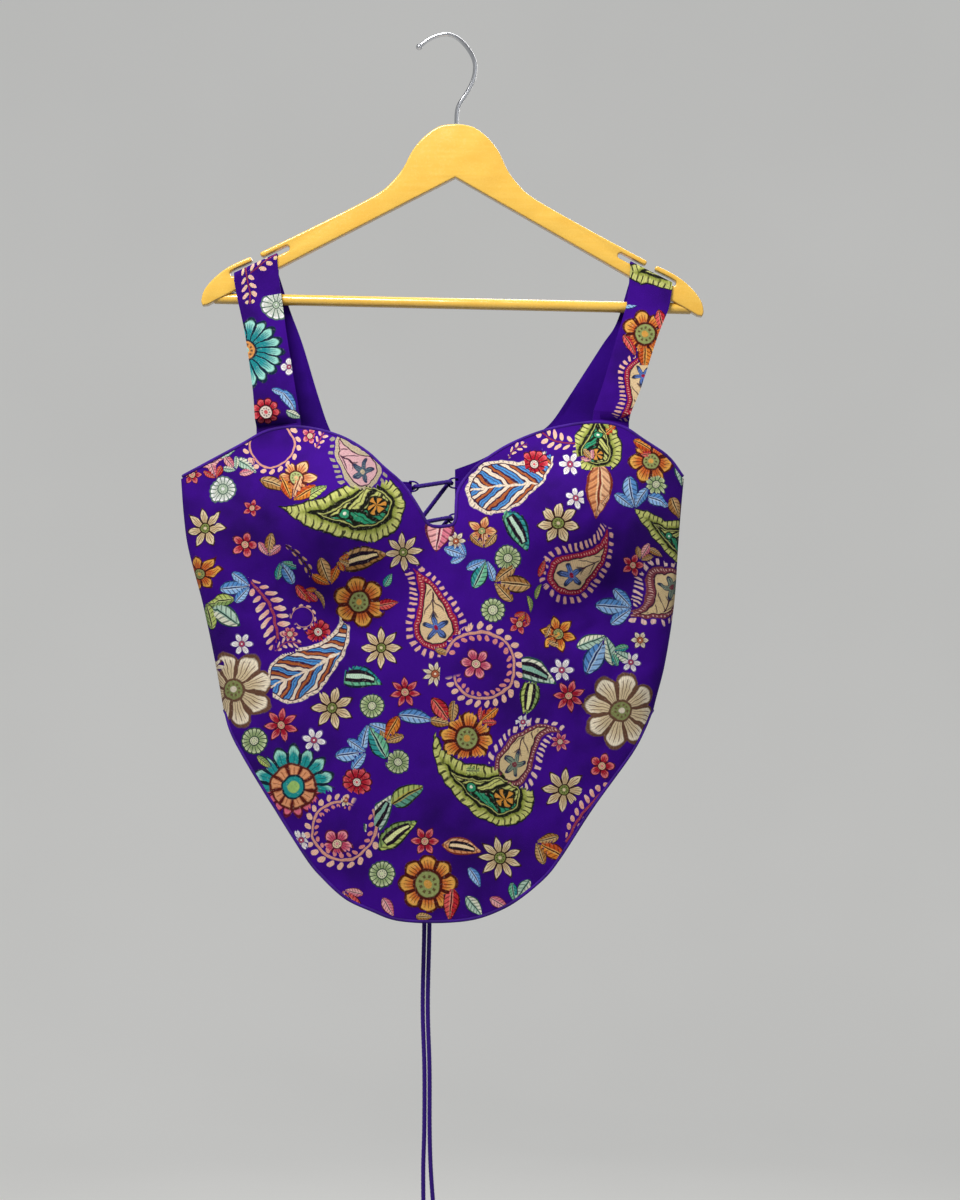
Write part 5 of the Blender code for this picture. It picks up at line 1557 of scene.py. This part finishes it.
chrome = {"bright": "b8babf", "scuffed": "989aa0", "rough": 0.16, "relief": 0.00002}


def chromeLookOf():
    pen = Pen("polished_chrome")
    scuffs = pen.noise(pen.objectPlace(), 260.0, 4.0)
    rough = pen.rise(scuffs, 0.5, 0.85) * chrome["rough"] + chrome["rough"]
    colour = pen.over(linear(chrome["bright"]), pen.rise(scuffs, 0.5, 0.9), linear(chrome["scuffed"]))
    pen.bump(scuffs, chrome["relief"])
    return pen.surface(colour, rough, Metallic=1.0)


threads = {"gloss": "8a6ae0", "sheen": 0.2, "cordAround": 7200.0, "cordAlong": 4200.0, "bias": 6400.0}


def cordLookOf():
    # Fine threads wound round the cord, with painted shade in the grooves between them and their crowns
    # painted a little lighter
    pen = Pen("lace_thread")
    u, v, _ = pen.split(pen.uv("cord"))
    slub = pen.noise(pen.objectPlace(), 700.0, 2.0)
    wound = pen.sin(u * threads["cordAround"] + v * threads["cordAlong"])
    # painted shade in the grooves between the wound threads, painted highlight on their crowns
    colour = pen.over(linear("20025c"), pen.rise(wound, -0.6, 0.9), linear("3c0a98"))
    colour = pen.over(colour, pen.rise(slub, 0.5, 0.8), linear("4c1896"), 0.4)
    pen.bump(wound + slub * 0.6, 0.00012)
    return pen.surface(colour, 0.62, Sheen_Weight=threads["sheen"], Sheen_Roughness=0.4,
                       Sheen_Tint=linear(threads["gloss"]), Specular_IOR_Level=0.3)


def pipingLookOf():
    # Cloth cut on the bias, so its weave runs both ways round the piping
    pen = Pen("piping_cloth")
    u, v, _ = pen.split(pen.uv("cord"))
    across, along = u * threads["bias"], v * threads["bias"]
    weave = pen.sin(across + along) * pen.sin(across - along)
    broad = pen.noise(pen.objectPlace(), 40.0, 3.0)
    colour = pen.over(linear("30046e"), pen.rise(broad, 0.35, 0.7), linear("440a96"))
    colour = pen.over(colour, pen.rise(weave, 0.0, 0.9), linear("1e0048"), 0.3)
    pen.bump(weave, 0.00006)
    return pen.surface(colour, 0.7, Sheen_Weight=threads["sheen"], Sheen_Roughness=0.5,
                       Sheen_Tint=linear(threads["gloss"]), Specular_IOR_Level=0.25)


# The room: a pale floor that runs up into a round pale wall, far enough out for a look from any side

room = {
    "floor": -1.9, "top": 3.6, "radius": 5.2, "curve": 1.4, "tone": "d2d2cf", "other": "d9d9d6", "glow": 0.44,
    "daylight": 0.21, "daylightTone": (0.92, 0.94, 1.0, 1.0),
}
lights = {  # place, height it points at, size, watts, tone
    "keyLight": ((-0.55, -1.45, 1.35), -0.45, 0.9, 70, (1.0, 0.975, 0.945)),
    "fillLight": ((1.8, -2.0, 0.1), -0.5, 1.8, 8, (0.95, 0.97, 1.0)),
    "backLight": ((0.7, 2.3, 0.9), -0.5, 1.4, 34, (1.0, 0.98, 0.96)),
    "topLight": ((0.3, 0.5, 1.6), -0.4, 1.4, 18, (1.0, 0.98, 0.95)),
}


def addRoom():
    radius, curve, floor = room["radius"], room["curve"], room["floor"]
    lines = [(0.0004, floor), (radius - curve, floor)]
    for i in range(1, 17):
        a = math.pi / 2 * i / 16
        lines.append((radius - curve * (1 - math.sin(a)), floor + curve * (1 - math.cos(a))))
    lines.append((radius, room["top"]))
    turns = np.linspace(0.0, 2 * np.pi, 97)
    points = np.array([[(r * math.cos(a), r * math.sin(a), z) for a in turns] for r, z in lines])
    sweep, _, _ = gridPiece("pale_room", points)
    pen = Pen("pale_room_paint")
    blotch = pen.noise(pen.objectPlace(), 0.7, 3.0)
    colour = pen.over(linear(room["tone"]), pen.rise(blotch, 0.3, 0.7), linear(room["other"]))
    dress(sweep, pen.surface(colour, 0.9, Specular_IOR_Level=0.1, Emission_Color=linear(room["tone"]),
                             Emission_Strength=room["glow"]))
    bpy.ops.object.shade_smooth()
    # Seen behind the part, but neither tinting nor shading it
    sweep.visible_diffuse = False
    sweep.visible_shadow = False


def addLights():
    deselect()
    for name, (place, height, size, power, tone) in lights.items():
        bpy.ops.object.light_add(type="AREA", location=place)
        light = bpy.context.object
        light.name = name
        light.data.size = size
        light.data.energy = power
        light.data.color = tone
        light.rotation_euler = (Vector((0, 0, height)) - Vector(place)).to_track_quat("-Z", "Y").to_euler()
    world = bpy.data.worlds.new("softRoom")
    bpy.context.scene.world = world
    world.use_nodes = True
    background = world.node_tree.nodes["Background"]
    background.inputs["Color"].default_value = room["daylightTone"]
    background.inputs["Strength"].default_value = room["daylight"]


addCords(cordLookOf())
print("cords made")

linings = plainCloth("violet_lining", clothLook["lining"], clothLook["liningDeep"])
groundLook = plainCloth("violet_ground", clothLook["violet"], clothLook["deep"])
looks = [groundLook, drawFlower(), drawPaisley(), drawRayPaisley(), drawStripedPaisley(), drawLeaf(),
         drawVine(), drawFern(), drawFan(), linings]
top, hem, frontMotifs = addFront(looks)
print("front made")
addPiping(top, hem, pipingLookOf())
print("piping made")
for hand in ("left", "right"):
    addStrap(hand, looks)
    addBack(hand, looks, frontMotifs)
    addLoopTape(hand, linings)
print("straps, backs and loops made")
woodLook = woodLookOf()
addBody(woodLook)
addBar(woodLook)
addHook(chromeLookOf())
print("hanger made")
addRoom()
addLights()
print("room and lights made")
